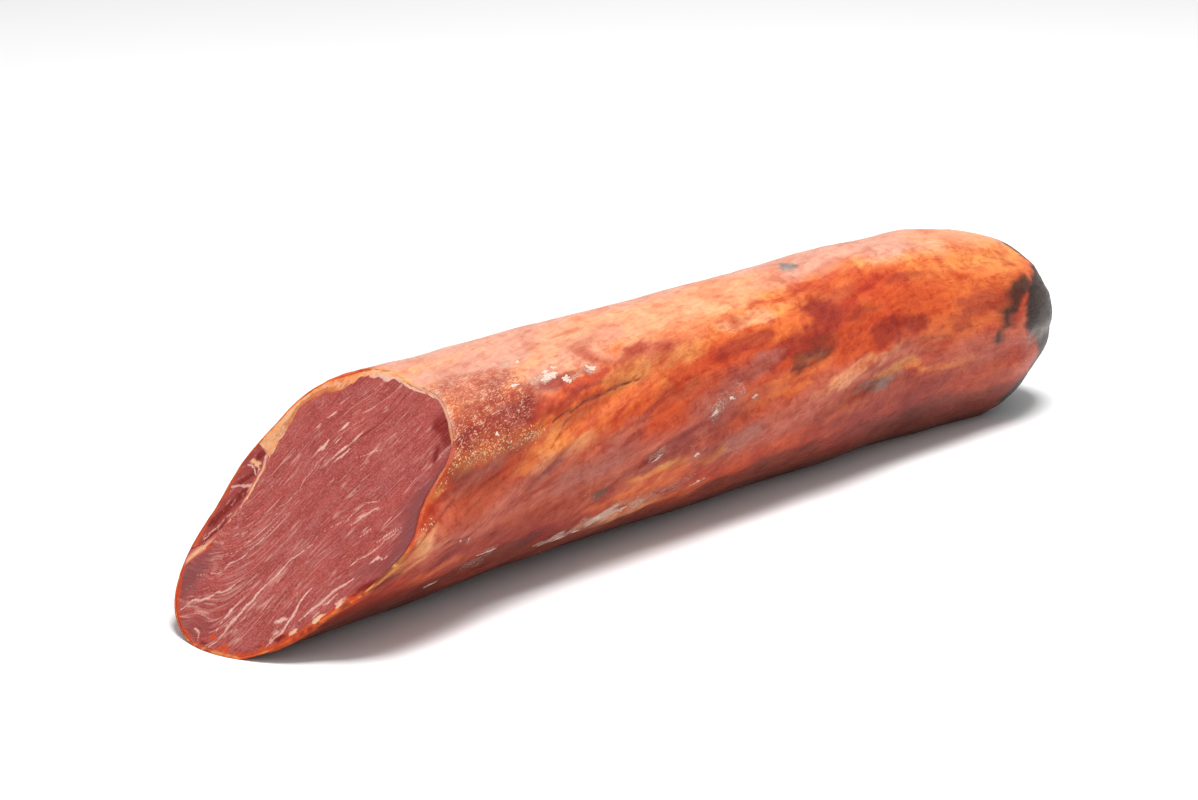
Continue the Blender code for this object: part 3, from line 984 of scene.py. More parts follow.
def lean_finish(colours):
    """Cured lean: fibres along the grain, marbling between them, and the marks kept for it."""
    finish = Finish("cured_lean")
    grain = finish.add("ShaderNodeUVMap", {"uv_map": "grain"})
    place = finish.vector("place")
    hairs = finish.noise(grain, (0.25, 3.2, 0.0), 3.0, 0.6, 0.3)
    streaks = finish.noise(grain, (0.13, 1.9, 0.0), 2.5, 0.5, 0.5)
    flecks = finish.noise(grain, (0.45, 2.0, 0.0), 2.0, 0.5, 0.6)
    long_threads = finish.noise(grain, (0.045, 0.60, 0.0), 1.5, 0.5, 0.2)
    threads = finish.noise(grain, (0.10, 1.05, 0.0), 1.5, 0.5, 0.3)
    breaks = finish.noise(grain, (0.17, 0.55, 0.0), 2.0, 0.55)
    bundles = finish.noise(grain, (0.07, 0.34, 0.0), 3.0, 0.55, 0.4)
    specks = finish.noise(place, 2.2, 3.0, 0.65)
    patchy = finish.noise(place, 0.20, 3.0, 0.55, 0.5)
    where = finish.noise(place, 0.11, 2.0, 0.5)
    often = 0.30 * (where - 0.5) + 0.05 * finish.value("fatty")
    ragged = 1.1 * (specks - 0.5) + 0.5 * (flecks - 0.5)
    vein = finish.value("vein") + 1.1 * (specks - 0.5) + 0.5 * (hairs - 0.5)
    veins = finish.step(vein, 0.30, 0.85)
    hairy = 1.0 - 0.35 * finish.step(hairs, 0.45, 0.65)
    shade = finish.over(finish.step(bundles, 0.38, 0.62), colours.lean_dark, colours.lean)
    shade = finish.layers(
        shade,
        (0.6, patchy, 0.48, 0.62, colours.mauve),
        (0.75, hairs, 0.50, 0.68, colours.lean_light),
        (0.75, 1.0 - hairs, 0.48, 0.66, colours.lean_dark),
        (0.7, specks, 0.50, 0.64, colours.lean_light),
        (0.75, 1.0 - specks, 0.50, 0.64, colours.lean_dark),
        (0.62 * finish.thread(long_threads, 19.0), breaks + often, 0.51, 0.65, colours.marbling),
        (0.28 * finish.thread(threads, 17.0), 1.0 - breaks + often, 0.53, 0.68, colours.marbling),
        (0.32, streaks + often, 0.66, 0.80, colours.marbling),
        (0.65, flecks + often, 0.69, 0.79, colours.marbling),
        (0.85, finish.value("dull") + 1.6 * ragged, 0.2, 0.9, colours.lean_dull),
    )
    shade = finish.over(veins * 0.85, shade, colours.marbling)
    shade = finish.layers(
        shade,
        (0.55, vein, 0.75, 1.2, colours.chalk),
        (0.9, finish.value("stain") + ragged, 0.3, 0.8, colours.flame),
        (hairy, finish.value("dark") + 0.7 * ragged, 0.1, 0.9, colours.lean_rim),
        (0.9, finish.value("glint") + ragged, 0.35, 0.75, colours.cream),
    )
    height = hairs * 0.5 + streaks * 0.3 + specks * 0.7
    rough = 0.40 + 0.25 * (specks - 0.5) - 0.06 * veins
    return finish.wear(shade, rough, 0.15, finish.bump(height, 0.5, 0.0005))


def fat_finish(colours):
    """Fat under its paprika stain, and the lean on both sides of its seam."""
    finish = Finish("stained_fat")
    place = finish.vector("place")
    soft = finish.noise(place, 0.45, 5.0, 0.65, 0.7)
    spots = finish.noise(place, 0.9, 3.0, 0.6, 0.5)
    specks = finish.noise(place, 2.4, 3.0, 0.6)
    ragged = 2.0 * (soft - 0.5) + 0.8 * (spots - 0.5) + 0.4 * (specks - 0.5)
    stain = finish.step(finish.value("stain") + ragged, 0.1, 0.75)
    dark = 0.85 * finish.step(finish.value("dark") + 0.6 * (spots - 0.5), 0.3, 0.7)
    shade = finish.over(stain, colours.fat, colours.fat_stain)
    shade = finish.over(finish.value("yellow") + 0.3 * (soft - 0.5), shade, colours.straw)
    shade = finish.layers(
        shade,
        (0.6, spots, 0.53, 0.68, colours.amber),
        (0.6, 1.0 - spots, 0.52, 0.66, colours.bloom),
        (0.75, finish.value("outer") + ragged, 0.35, 0.95, colours.orange),
        (0.85, finish.value("inner") + 0.8 * ragged, 0.25, 0.8, colours.tan),
        (0.8, finish.value("milky") + 0.7 * ragged, 0.3, 0.9, colours.milk),
    )
    shade = finish.over(finish.value("meat"), shade, colours.lean)
    # The dent beside the side muscle is painted dark: painted shade.
    shade = finish.over(dark, shade, colours.lean_dark)
    rough = 0.42 + 0.2 * (specks - 0.5)
    return finish.wear(shade, rough, 0.3, finish.bump(soft * 0.6 + specks * 0.4, 0.45, 0.0007))


def side_finish(colours):
    """The dark small muscle with its lobes, and the paler skins between them."""
    finish = Finish("side_muscle_lean")
    place = finish.vector("place")
    strands = finish.noise(place, (0.5, 1.5, 0.3), 3.0, 0.55, 0.8)
    specks = finish.noise(place, 1.7, 3.0, 0.6)
    ragged = 0.7 * (specks - 0.5) + 0.5 * (strands - 0.5)
    lobes = finish.step(finish.value("lobe") + ragged, 0.2, 0.7)
    dark = finish.step(finish.value("dark") + 0.5 * (specks - 0.5), 0.3, 0.8)
    shade = finish.over(lobes, colours.lean_dark, colours.lean_rim)
    shade = finish.layers(
        shade,
        (0.6, specks, 0.5, 0.7, colours.lean_dark),
        (0.5, strands, 0.58, 0.70, colours.marbling),
        (0.85, finish.value("pale") + ragged, 0.35, 0.85, colours.marbling),
        (0.9, finish.value("cream") + ragged, 0.3, 0.85, colours.fat),
        (0.85, finish.value("stain") + ragged, 0.3, 0.9, colours.flame),
    )
    # The dent beside the fat is painted dark: painted shade.
    shade = finish.over(dark, shade, colours.lean_rim)
    rough = 0.44 + 0.2 * (specks - 0.5)
    return finish.wear(shade, rough, 0.3, finish.bump(strands * 0.4 + specks * 0.6, 0.4, 0.0006))


def bloom_finish(colours):
    finish = Finish("dry_bloom")
    grit = finish.noise(finish.object_place(), 2200.0, 3.0, 0.65)
    shade = finish.over(finish.step(grit, 0.4, 0.7), colours.bloom, colours.chalk)
    return finish.wear(shade, 0.75 + 0.2 * (grit - 0.5), 0.2, finish.bump(grit, 0.5, 0.0003))


def crust_finish(colours):
    finish = Finish("dry_crust")
    grit = finish.noise(finish.object_place(), 900.0, 3.0, 0.65)
    shade = finish.over(finish.step(grit, 0.35, 0.65), colours.straw, colours.cream)
    return finish.wear(shade, 0.45 + 0.3 * (grit - 0.5), 0.5, finish.bump(grit, 0.5, 0.0003))


def floor_finish(colour):
    finish = Finish("pale_floor")
    cloudy = finish.noise(finish.object_place(), 3.0, 2.0, 0.5)
    shade = finish.over(finish.step(cloudy, 0.3, 0.7), [0.985 * part for part in colour], colour)
    return finish.wear(shade, 0.6 + 0.1 * (cloudy - 0.5), 0.2)


# The cut face

# Swirls in the meat's grain: their place, how far they reach and how many degrees they turn
Swirl = namedtuple("Swirl", "across height reach turn")
SWIRLS = (
    Swirl(4, 17, 8, -22),
    Swirl(-14, 0, 9, -16),
    Swirl(-13, -17, 8, 20),
    Swirl(10, 4, 8, 12),
)

# Pale veins on the cut, as (across, height from the axis) points with a half width
VEINS = (
    (((17, -22.5), (14.6, -19.5), (10.2, -17.5), (6.9, -15.7), (5.0, -13.5)), 0.3),
    (
        ((2.3, -26.0), (1.2, -22.9), (0.5, -20.1), (-0.7, -17.1), (-1.6, -13.4), (-2.6, -9.8), (-6.3, -6)),
        0.36,
    ),
    (((2.6, -24.6), (3.6, -22.4), (3.0, -18.8), (2.0, -16.2)), 0.2),
    (((-11.6, -23.3), (-13.2, -20.7), (-13.2, -17.2), (-12.8, -14.6), (-13.1, -12.6)), 0.4),
    (((-9.5, -19.5), (-11.0, -18.4), (-12.4, -18.0)), 0.45),
    (((-15.6, -17.6), (-16.8, -15.6), (-18.2, -13.6), (-20.6, -11.0), (-21.8, -9.0)), 0.42),
    (((-18.4, -14.8), (-19.6, -14.0), (-20.8, -12.6)), 0.3),
    (((6.5, -25.0), (7.4, -24.0), (9.6, -23.2)), 0.25),
    (((-19.4, -6.9), (-21.7, -4.7), (-23.2, -3.1), (-24.5, -1.3), (-25.6, 0.5)), 0.28),
    (((-23.2, -6.3), (-24.8, -5.2), (-26.6, -4.0)), 0.22),
    (((-21.4, -2.4), (-23.2, -1.4), (-24.6, 0.2)), 0.28),
    (((-12.4, -1.2), (-14.3, 0.8), (-16.2, 2.8)), 0.3),
    (((-16.4, -2.6), (-18.6, -0.6)), 0.26),
    (((12.0, 15.2), (11.2, 16.6)), 0.4),
    (((13.4, 12.6), (12.6, 14.0)), 0.3),
    (((3.6, 8.6), (2.4, 10.6), (1.2, 12.4), (0.2, 13.6)), 0.5),
    (((2.2, 8.2), (1.4, 9.6), (0.6, 10.6)), 0.3),
    (((7.2, 12.8), (6.4, 14.2), (6.0, 15.0)), 0.45),
    (((8.6, 9.4), (8.0, 11.0)), 0.45),
    (((13.2, -6.9), (9.9, -2.7), (7.7, 0.0), (6.4, 5.9), (6.4, 10.0), (5.1, 13.1)), 0.13),
    (((18.9, -15.9), (12.4, -13.9), (9.5, -10.7), (7.5, -7.1), (5.4, -2.0)), 0.15),
    (((15.4, -12.2), (11.8, -9.6), (9.0, -5.8), (7.0, -1.4)), 0.12),
    (((-6.4, -3.2), (-10.0, -0.6), (-12.9, 2.6), (-16.8, 4.9)), 0.14),
    (((-2.4, 9.6), (-5.0, 11.4), (-7.4, 12.8)), 0.14),
)

# The fine line that the knife left: a groove, painted dark inside as painted shade
KNIFE_LINE = ((2.0, 11.2), (-0.6, 14.2), (-2.1, 16.2), (-3.0, 18.4), (-3.7, 21.6))


def swirled(flat):
    """Places on the cut turned by the swirls, so that straight lines there follow the meat's grain."""
    places = flat.copy()
    for swirl in SWIRLS:
        middle = np.array([swirl.across, swirl.height])
        offset = places - middle
        turn = np.radians(swirl.turn) * bell(np.linalg.norm(offset, axis=-1) / swirl.reach)
        places = middle + np.stack(rotated(offset, turn), axis=-1)
    return places


# The grain's climb over the cut, and the middle and the reach of the arcs low at the back
GRAIN_CLIMB = 0.42
ARC_MIDDLE = (20.0, 5.0)
ARC_REACH = 23.0
ARC_RUN = 20.0


def grain_places(flat):
    """How far along the meat's grain and across it each place on the cut is, in millimetres.

    Low at the back the grain bends round in arcs, elsewhere it runs straight but for the swirls.
    """
    side, run = rotated(swirled(flat), -np.arctan(GRAIN_CLIMB))
    offset = flat - np.array(ARC_MIDDLE)
    arcs = ease(flat[..., 0] / 12.0) * ease((2.0 - flat[..., 1]) / 12.0)
    round_arc = ARC_RUN * (np.arctan2(-offset[..., 0], -offset[..., 1]) - 1.0)
    side = side + arcs * (ARC_REACH - np.linalg.norm(offset, axis=-1) - side)
    run = run + arcs * (round_arc - run)
    return np.stack([run * np.hypot(1.0, CUT_RUN), side], axis=-1)


def section_of(points):
    """Places across the loin and up from its axis in millimetres."""
    return np.stack([points[..., 1], points[..., 2] - AXIS_HEIGHT], axis=-1) / MM


def three(flat):
    """Flat places with a third coordinate of zero, for noise."""
    return np.stack([flat[..., 0], flat[..., 1], 0.0 * flat[..., 0]], axis=-1)


def line_share(flat, points, width):
    """How near a line each place on the cut is, from 0 to 1."""
    away, _ = line_distance(flat, points)
    return bell(away / width)


def vein_share(flat):
    """How near a vein each place on the cut is, from 0 to 1. Veins are thin at their ends."""
    wobble = wobble_of(three(flat), 0.45, 2.4, 51)
    found = np.zeros(flat.shape[:-1])
    for points, width in VEINS:
        away, share = line_distance(flat + wobble, points)
        found = np.maximum(found, bell(away / (width * (0.45 + 0.75 * np.sin(np.pi * share)))))
    return found


# Spots on the cut by kind: across, height from the axis, half length, half width, and their tilt
# in degrees up towards the loin's front
CUT_SPOTS = {
    # Dark spots stand partly for dark dried streaks and partly for small holes, painted as shade.
    "dark": (
        (-13.9, -21.3, 1.9, 0.6, 34), (-24.6, -11.6, 1.6, 0.4, 40), (-9.5, -23.4, 0.9, 0.4, 15),
        (-26.4, -9.6, 3.0, 0.8, 32), (4.6, -25.6, 1.0, 0.35, -10), (-5.0, -24.8, 1.3, 0.3, 5),
        (-21.6, 13.5, 2.6, 1.2, -56),
    ),
    "stain": (
        (-22.4, -14.6, 1.6, 0.6, 40), (-14.6, -20.8, 2.2, 0.7, 30), (-1.4, -25.4, 2.2, 0.8, 0),
        (-10.4, -23.0, 1.2, 0.5, 15), (-25.0, -11.8, 3.0, 0.9, 36), (3.0, -24.4, 1.4, 0.6, 0),
    ),
    "glint": (
        (-16.4, -19.9, 1.0, 0.45, 35), (-19.9, -16.7, 1.8, 0.5, 36), (-22.6, -13.4, 1.4, 0.45, 30),
    ),
    "vein": (
        (-22.4, -12.9, 1.7, 0.6, 28), (-18.9, -16.1, 1.1, 0.4, 40), (-11.6, -21.8, 0.8, 0.3, 30),
        (1.2, -20.9, 0.9, 0.5, 60), (-12.0, -20.4, 0.9, 0.5, 50), (-17.4, -14.4, 0.7, 0.4, 30),
        (-20.2, -6.2, 0.9, 0.45, 40), (-13.6, 0.6, 1.2, 0.5, 45),
    ),
    "dull": (
        (-24.2, -7.0, 4.6, 2.2, 38),
    ),
}  # fmt: skip


def cut_spots(flat, kind):
    """How near the middle of a spot of this kind each place on the cut is, from 0 to 1."""
    found = np.zeros(flat.shape[:-1])
    places = flat + wobble_of(three(flat), 0.5, 1.6, 55)
    for across, height, length, width, tilt in CUT_SPOTS[kind]:
        run, side = rotated(places - np.array([across, height]), np.radians(tilt))
        found = np.maximum(found, bell(np.hypot(run / length, side / width)))
    return found


def lean_edge_depth(angle, share):
    """How deep the lean meat's edge lies, under the casing or under the fat."""
    under_fat = (angle > FAT_BOTTOM) & (angle < FAT_FRONT)
    fat = fat_depth(np.clip(angle, FAT_BOTTOM, FAT_FRONT), share)
    return np.where(under_fat, np.maximum(fat, wall_depth(angle, share)), wall_depth(angle, share))


def wall_depth(angle, share):
    """The depth of the casing's inner side, which is thicker behind the cut."""
    return rim_depth(angle) + 1.2 * MM * ease(share * LAYER_END / (9.0 * MM))


def body_shares():
    """Where the rings of the hidden inner sides lie, denser near the cut."""
    return np.array([0.006, 0.014, 0.026, 0.045, 0.08, 0.14, 0.25, 0.4, 0.55, 0.7, 0.85, 1.0])


def end_alongs(count):
    """Where the rings of the rounded end lie along the loin, denser near its tip."""
    steps = np.linspace(0.0, 1.0, count + 1)[:-1]
    return END_START + END_LENGTH * np.sin(0.5 * np.pi * steps)


def end_ring(angle, along, depth):
    """A ring of the rounded end, whose points lie deep under the skin."""
    back = np.full(angle.shape, along) - depth * closing_of(along)
    return section_points(angle, np.maximum(skin_radius(angle, back) - depth, 0.02 * MM), back)


# The cut lean's relief in millimetres, and how wide the knife's line and the free edge's drop are
DISH_RELIEF = 0.16
FIBRE_RELIEF = 0.05
VEIN_RELIEF = 0.06
KNIFE_RELIEF = -0.30
KNIFE_WIDTH = 0.28
FREE_RELIEF = -0.06
FREE_WIDTH = 0.9


def hidden_rings(angle, depth_at, shares, end_depth):
    """Rings of an inner side, from the cut or from behind it to the far tip."""
    body = [ring(angle, depth_at(angle, share), share) for share in shares]
    alongs = [INNER_END_START, *end_alongs(INNER_END_RINGS)[1:]]
    return body + [end_ring(angle, along, end_depth) for along in alongs]


def cut_face_relief(flat, edge, free):
    """Heights of the cut lean in millimetres: a faint dish, fibres, veins and the knife's line."""
    grain = grain_places(flat)
    fibres = cloud(three(grain / np.array([7.0, 1.0])), 0.8, 61, 2)
    groove, _ = line_distance(flat + 0.15 * cloud(three(flat), 2.0, 64)[..., None], KNIFE_LINE)
    height = DISH_RELIEF * cloud(three(flat), 9.0, 62, 2) * ease(edge / 3.0) + FIBRE_RELIEF * fibres
    height += VEIN_RELIEF * vein_share(flat) + KNIFE_RELIEF * bell(groove / KNIFE_WIDTH)
    return height + FREE_RELIEF * free * bell(edge / FREE_WIDTH)


def count_of(name, description, count):
    return bpy.props.IntProperty(name=name, description=description, default=count)


def length_of(name, description, length):
    return bpy.props.FloatProperty(
        name=name, description=description, default=length, unit="LENGTH", subtype="DISTANCE"
    )


def shade_of(name, description, colour):
    return bpy.props.FloatVectorProperty(
        name=name, description=description, default=colour, subtype="COLOR", size=3, min=0.0, max=1.0
    )


class LoinSizes(bpy.types.PropertyGroup):
    """Fineness and relief of the pieces."""

    casing_around: count_of("Casing around", "Points round the casing", 352)
    casing_rings: count_of("Casing rings", "Rings along the casing", 212)
    casing_end_rings: count_of("End rings", "Rings of the rounded end", 36)
    lean_around: count_of("Lean around", "Points round the cut lean", 440)
    lean_rings: count_of("Lean rings", "Rings over the cut lean", 84)
    rim_lift: length_of("Rim lift", "How far the casing's edge stands over the cut", 0.12 * MM)
    flake_lift: length_of("Flake lift", "How far a flake of bloom stands over the casing", 0.10 * MM)


class LoinColours(bpy.types.PropertyGroup):
    """Colours of the meat, the fat and the casing."""

    lean: shade_of("Lean", "Cured lean meat", (0.39, 0.068, 0.057))
    # Dark lean also paints the painted shade in the dent beside the side muscle.
    lean_dark: shade_of("Dark lean", "Denser bundles of the lean", (0.275, 0.040, 0.034))
    lean_light: shade_of("Light lean", "Fibres with fine fat in them", (0.45, 0.115, 0.098))
    mauve: shade_of("Mauve lean", "Greyer patches of the lean", (0.37, 0.098, 0.090))
    # Lean rim also lays painted shade in the knife's groove, in the dark spots that stand for holes on the
    # cut, and in the dent beside the side muscle.
    lean_rim: shade_of("Lean rim", "Dried edge of the lean", (0.17, 0.006, 0.003))
    lean_dull: shade_of("Dull lean", "Greyed lean near the edge", (0.20, 0.050, 0.052))
    marbling: shade_of("Marbling", "Fat within the lean", (0.64, 0.33, 0.27))
    fat: shade_of("Fat", "The fat layer inside", (0.76, 0.38, 0.20))
    fat_stain: shade_of("Stained fat", "Fat stained by paprika", (0.76, 0.26, 0.09))
    tan: shade_of("Tan", "Brown orange fat beside the lean", (0.46, 0.13, 0.045))
    milk: shade_of("Milk", "Pale fat without stain", (0.64, 0.40, 0.36))
    peach: shade_of("Peach", "Pale orange fat under the casing", (0.76, 0.32, 0.15))
    # Cream is also the painted highlight on the tops of the fine wrinkles.
    cream: shade_of("Cream", "Dry tops of the fine wrinkles", (0.76, 0.47, 0.30))
    amber: shade_of("Amber", "Fat that shines through the casing", (0.74, 0.225, 0.055))
    orange: shade_of("Orange", "Paprika on the casing", (0.65, 0.130, 0.028))
    flame: shade_of("Flame", "Bright red orange casing", (0.53, 0.062, 0.012))
    rust: shade_of("Rust", "Brown red casing", (0.39, 0.058, 0.022))
    brick: shade_of("Brick", "Deep red casing", (0.29, 0.024, 0.010))
    # Ember is partly the underside's own dark tone and partly painted shade where the loin meets the floor.
    ember: shade_of("Ember", "The dark underside", (0.14, 0.022, 0.009))
    plum: shade_of("Plum", "Dusty purple casing", (0.36, 0.105, 0.078))
    salmon: shade_of("Salmon", "Pale red casing", (0.50, 0.105, 0.056))
    # Rose along the top is partly painted sheen.
    rose: shade_of("Rose", "Pale pink casing", (0.62, 0.29, 0.20))
    straw: shade_of("Straw", "Yellow fat under the casing", (0.60, 0.24, 0.065))
    moss: shade_of("Moss", "Dark green grey spots", (0.12, 0.06, 0.03))
    # Slate paints blue grey spots, and also the painted sheen on the far end's cap.
    slate: shade_of("Slate", "Blue grey spots", (0.22, 0.19, 0.17))
    coal: shade_of("Coal", "The dark dried cap of the far end", (0.013, 0.009, 0.005))
    # Crack paints the painted shade inside the cracks and in the pits of the cut edge, and the hidden inner
    # side.
    crack: shade_of("Crack", "Inside the cracks", (0.13, 0.016, 0.008))
    bloom: shade_of("Bloom", "Dusty bloom on the casing", (0.60, 0.42, 0.34))
    chalk: shade_of("Chalk", "The whitest flakes", (0.80, 0.66, 0.57))


class LoinStage(bpy.types.PropertyGroup):
    """The floor, the light and the camera."""

    floor: shade_of("Floor", "The plain floor", (0.9, 0.9, 0.9))
    fill: bpy.props.FloatProperty(
        name="Fill", description="Strength of the light from all round", default=0.55
    )
    key: bpy.props.FloatProperty(
        name="Key", description="Power of the large soft light", default=14.0, unit="POWER"
    )
    lens: bpy.props.FloatProperty(
        name="Lens", description="Focal length", default=90.15, subtype="DISTANCE_CAMERA"
    )
    turn: bpy.props.FloatProperty(
        name="Turn", description="The way the camera looks, round from +X", default=0.762, subtype="ANGLE"
    )
    tilt: bpy.props.FloatProperty(
        name="Tilt", description="How far the camera looks down", default=0.2965, subtype="ANGLE"
    )
    place: bpy.props.FloatVectorProperty(
        name="Place", description="Where the camera stands", default=(-0.5296, -0.48349, 0.2456),
        subtype="XYZ", unit="LENGTH",
    )  # fmt: skip


def palette_of(colours):
    """The colours by name, for sums with many of them."""
    return {name: np.array(getattr(colours, name)) for name in LoinColours.__annotations__}


def map_grid(rows, columns, low, high):
    """Corners of a grid's quads on the bake map, in a rectangle of their own."""
    u = low[0] + (high[0] - low[0]) * np.arange(rows) / (rows - 1)
    v = low[1] + (high[1] - low[1]) * np.arange(columns) / (columns - 1)
    places = np.stack(np.broadcast_arrays(u[:, None], v[None, :]), axis=-1)
    first, second = places[:-1], places[1:]
    return np.stack([first[:, :-1], first[:, 1:], second[:, 1:], second[:, :-1]], axis=2)


def map_round(count, middle, reach):
    """Corners of a face with many corners on the bake map, as a circle."""
    turn = np.linspace(0.0, 2.0 * np.pi, count, endpoint=False)
    return np.array(middle) + reach * np.stack([np.cos(turn), np.sin(turn)], axis=-1)


# The cut on the bake map: where its middle lies, and how much of the map a millimetre takes
CUT_MAP_MIDDLE = np.array([0.3789, 0.5])
CUT_MAP_SCALE = np.array([0.0119, 0.0175])


def map_cut(flat):
    """Places on the cut face as places on the left three quarters of the bake map."""
    return CUT_MAP_MIDDLE + flat * CUT_MAP_SCALE


def add_bake_map(piece, *groups):
    """The map on which a piece's colours are baked, from the corners of its faces."""
    layer = piece.data.uv_layers.new(name="OFBake")
    places = np.concatenate([group.reshape(-1, 2) for group in groups])
    layer.data.foreach_set("uv", places.astype(np.float32).ravel())


# Rows over the casing's cut edge: how far in they lie, their share of the rim's lift, and how
# many millimetres they stay over the ground
RIM_ROWS = ((0.25, 0.8, 0.1), (0.6, 0.9, 0.24), (0.92, 0.3, 0.36))

# Hidden inner sides: their depth in the rounded end, how far the casing's starts behind the cut,
# and how many millimetres they stay over the ground
CASING_END_DEPTH = 1.6 * MM
LEAN_END_DEPTH = 1.9 * MM
INNER_EDGE_DROP = 0.12 * MM
CASING_INNER_LEAST = 0.4
INSIDE_LEAST = 0.3

# The bake maps: rectangles from their low corner to their high one, and small circles
SKIN_MAP = ((0.005, 0.005), (0.995, 0.93))
INNER_SKIN_MAP = ((0.05, 0.945), (0.95, 0.995))
CASING_TIP_MAPS = ((0.022, 0.97), (0.978, 0.97))
LEAN_BODY_MAP = ((0.76, 0.06), (0.99, 0.99))
LEAN_TIP_MAP = (0.87, 0.03)
BAND_WALL_MAP = ((0.76, 0.16), (0.99, 0.99))
BAND_END_MAP = ((0.76, 0.01), (0.99, 0.14))
TIP_MAP_REACH = 0.02


class LOIN_OT_casing(bpy.types.Operator):
    """Makes the dried casing, with its folds, wrinkles and cracks"""

    bl_idname = "loin.casing"
    bl_label = "Casing"

    def execute(self, context):
        sizes, colours = context.scene.loin_sizes, context.scene.loin_colours
        around = sizes.casing_around
        angle = angles_round(around)
        along = self.ring_alongs(angle, sizes)
        angles = np.repeat(angle[None, :], len(along), axis=0)
        height, crease = casing_relief(angles, along)
        height[0] *= 0.4
        outer = raised(angles, along, height)
        lift = 0.9 + 0.9 * wavering(angle, 2.2, 71) + 0.5 * wavering(angle, 0.8, 72)
        lift *= sizes.rim_lift
        outer[0] += cut_normal() * (0.4 * lift)[:, None]
        rim = [self.rim_row(angle, part, up * lift, least) for part, up, least in RIM_ROWS]
        inner = hidden_rings(angle, wall_depth, np.append(0.0, body_shares()), CASING_END_DEPTH)
        inner[0] -= cut_normal() * INNER_EDGE_DROP
        inner = [resting(row, CASING_INNER_LEAST) for row in inner]
        points = np.stack([*outer[::-1], *rim, *inner]) + frame_shift()
        count, shown = len(points), len(outer) + len(rim)
        quads, tips = tube_faces(count, around)
        piece = new_piece("casing", points, [*quads, *tips], casing_finish(colours))
        skin = map_grid(shown, around + 1, *SKIN_MAP)
        hidden = map_grid(count - shown + 1, around + 1, *INNER_SKIN_MAP)
        ends = [map_round(around, middle, TIP_MAP_REACH) for middle in CASING_TIP_MAPS]
        add_bake_map(piece, skin, hidden, *ends)
        self.add_marks(piece, angles, along, crease, count - len(outer), palette_of(colours))
        outward(piece)
        return {"FINISHED"}

    def ring_alongs(self, angle, sizes):
        """Where the points of each ring lie along the loin, from the cut's edge to the tip."""
        part = np.linspace(0.0, 1.0, sizes.casing_rings)
        share = np.append(0.0, 0.0012 + 0.9988 * (0.55 * part + 0.45 * part**2))
        body = alongs_of(angle[None, :], 0.0, share[:, None])
        last = END_START + 0.9999 * END_LENGTH
        end = np.array([0.5 * (LAYER_END + END_START), *end_alongs(sizes.casing_end_rings), last])
        return np.concatenate([body, np.repeat(end[:, None], len(angle), axis=1)])

    def rim_row(self, angle, part, lift, least):
        """A row of points over the casing's cut edge, part of the way from outside to inside."""
        row = ring(angle, part * rim_depth(angle), 0.0)
        return resting(row + cut_normal() * lift[:, None], least)

    def add_marks(self, piece, angles, along, crease, hidden, palette):
        """Keeps what the finish reads, and plain marks on the hidden rows that follow the skin's."""
        flat, strand = unrolled(angles, along), strand_space(angles, along)
        marks = {"crease": crease, "dry": dryness(flat), "bloom": bloom_share(flat, strand)}
        marks["lively"] = liveliness(angles)
        none = np.zeros((hidden, angles.shape[1]))
        add_values(piece, **{name: np.concatenate([mark[::-1], none]) for name, mark in marks.items()})
        reach = (1.4 + 1.5 * bell((angles - 178.0) / 14.0)) * MM
        rim = ease(1.0 - (along - along[0]) / reach + 0.6 * cloud(strand, 1.6, 75))
        paint = casing_colours(angles, along, palette)
        paint = laid_over(paint, table_colour(angles, RIM_GROUND, palette), 0.85 * rim)
        edge = self.edge_colours(angles[:1], palette)
        shown = len(RIM_ROWS) + 1
        inside = np.full((hidden - shown, angles.shape[1], 3), palette["crack"])
        paint = np.concatenate([paint[::-1], np.repeat(edge, shown, axis=0), inside])
        add_colours(piece, "paint", paint.reshape(-1, 3))
        add_vectors(piece, "strand", np.concatenate([strand[::-1], np.repeat(strand[:1], hidden, axis=0)]))

    def edge_colours(self, angle, palette):
        """The colours of the casing's cut edge, which is pitted low at the front; the pits are painted dark
        as painted shade.
        """
        edge = table_colour(angle + 9.0 * wavering(angle, 2.0, 77), RIM_GROUND, palette)
        edge = laid_over(edge, palette["straw"], 0.6 * ease(wavering(angle, 1.5, 78)))
        # Painted shade for the pits low at the front.
        pit_shade = ease((np.abs(turned(angle - 212.0)) - 30.0) / -10.0)
        return laid_over(edge, palette["crack"], 0.8 * pit_shade * ease(-2.0 * wavering(angle, 1.1, 79)))


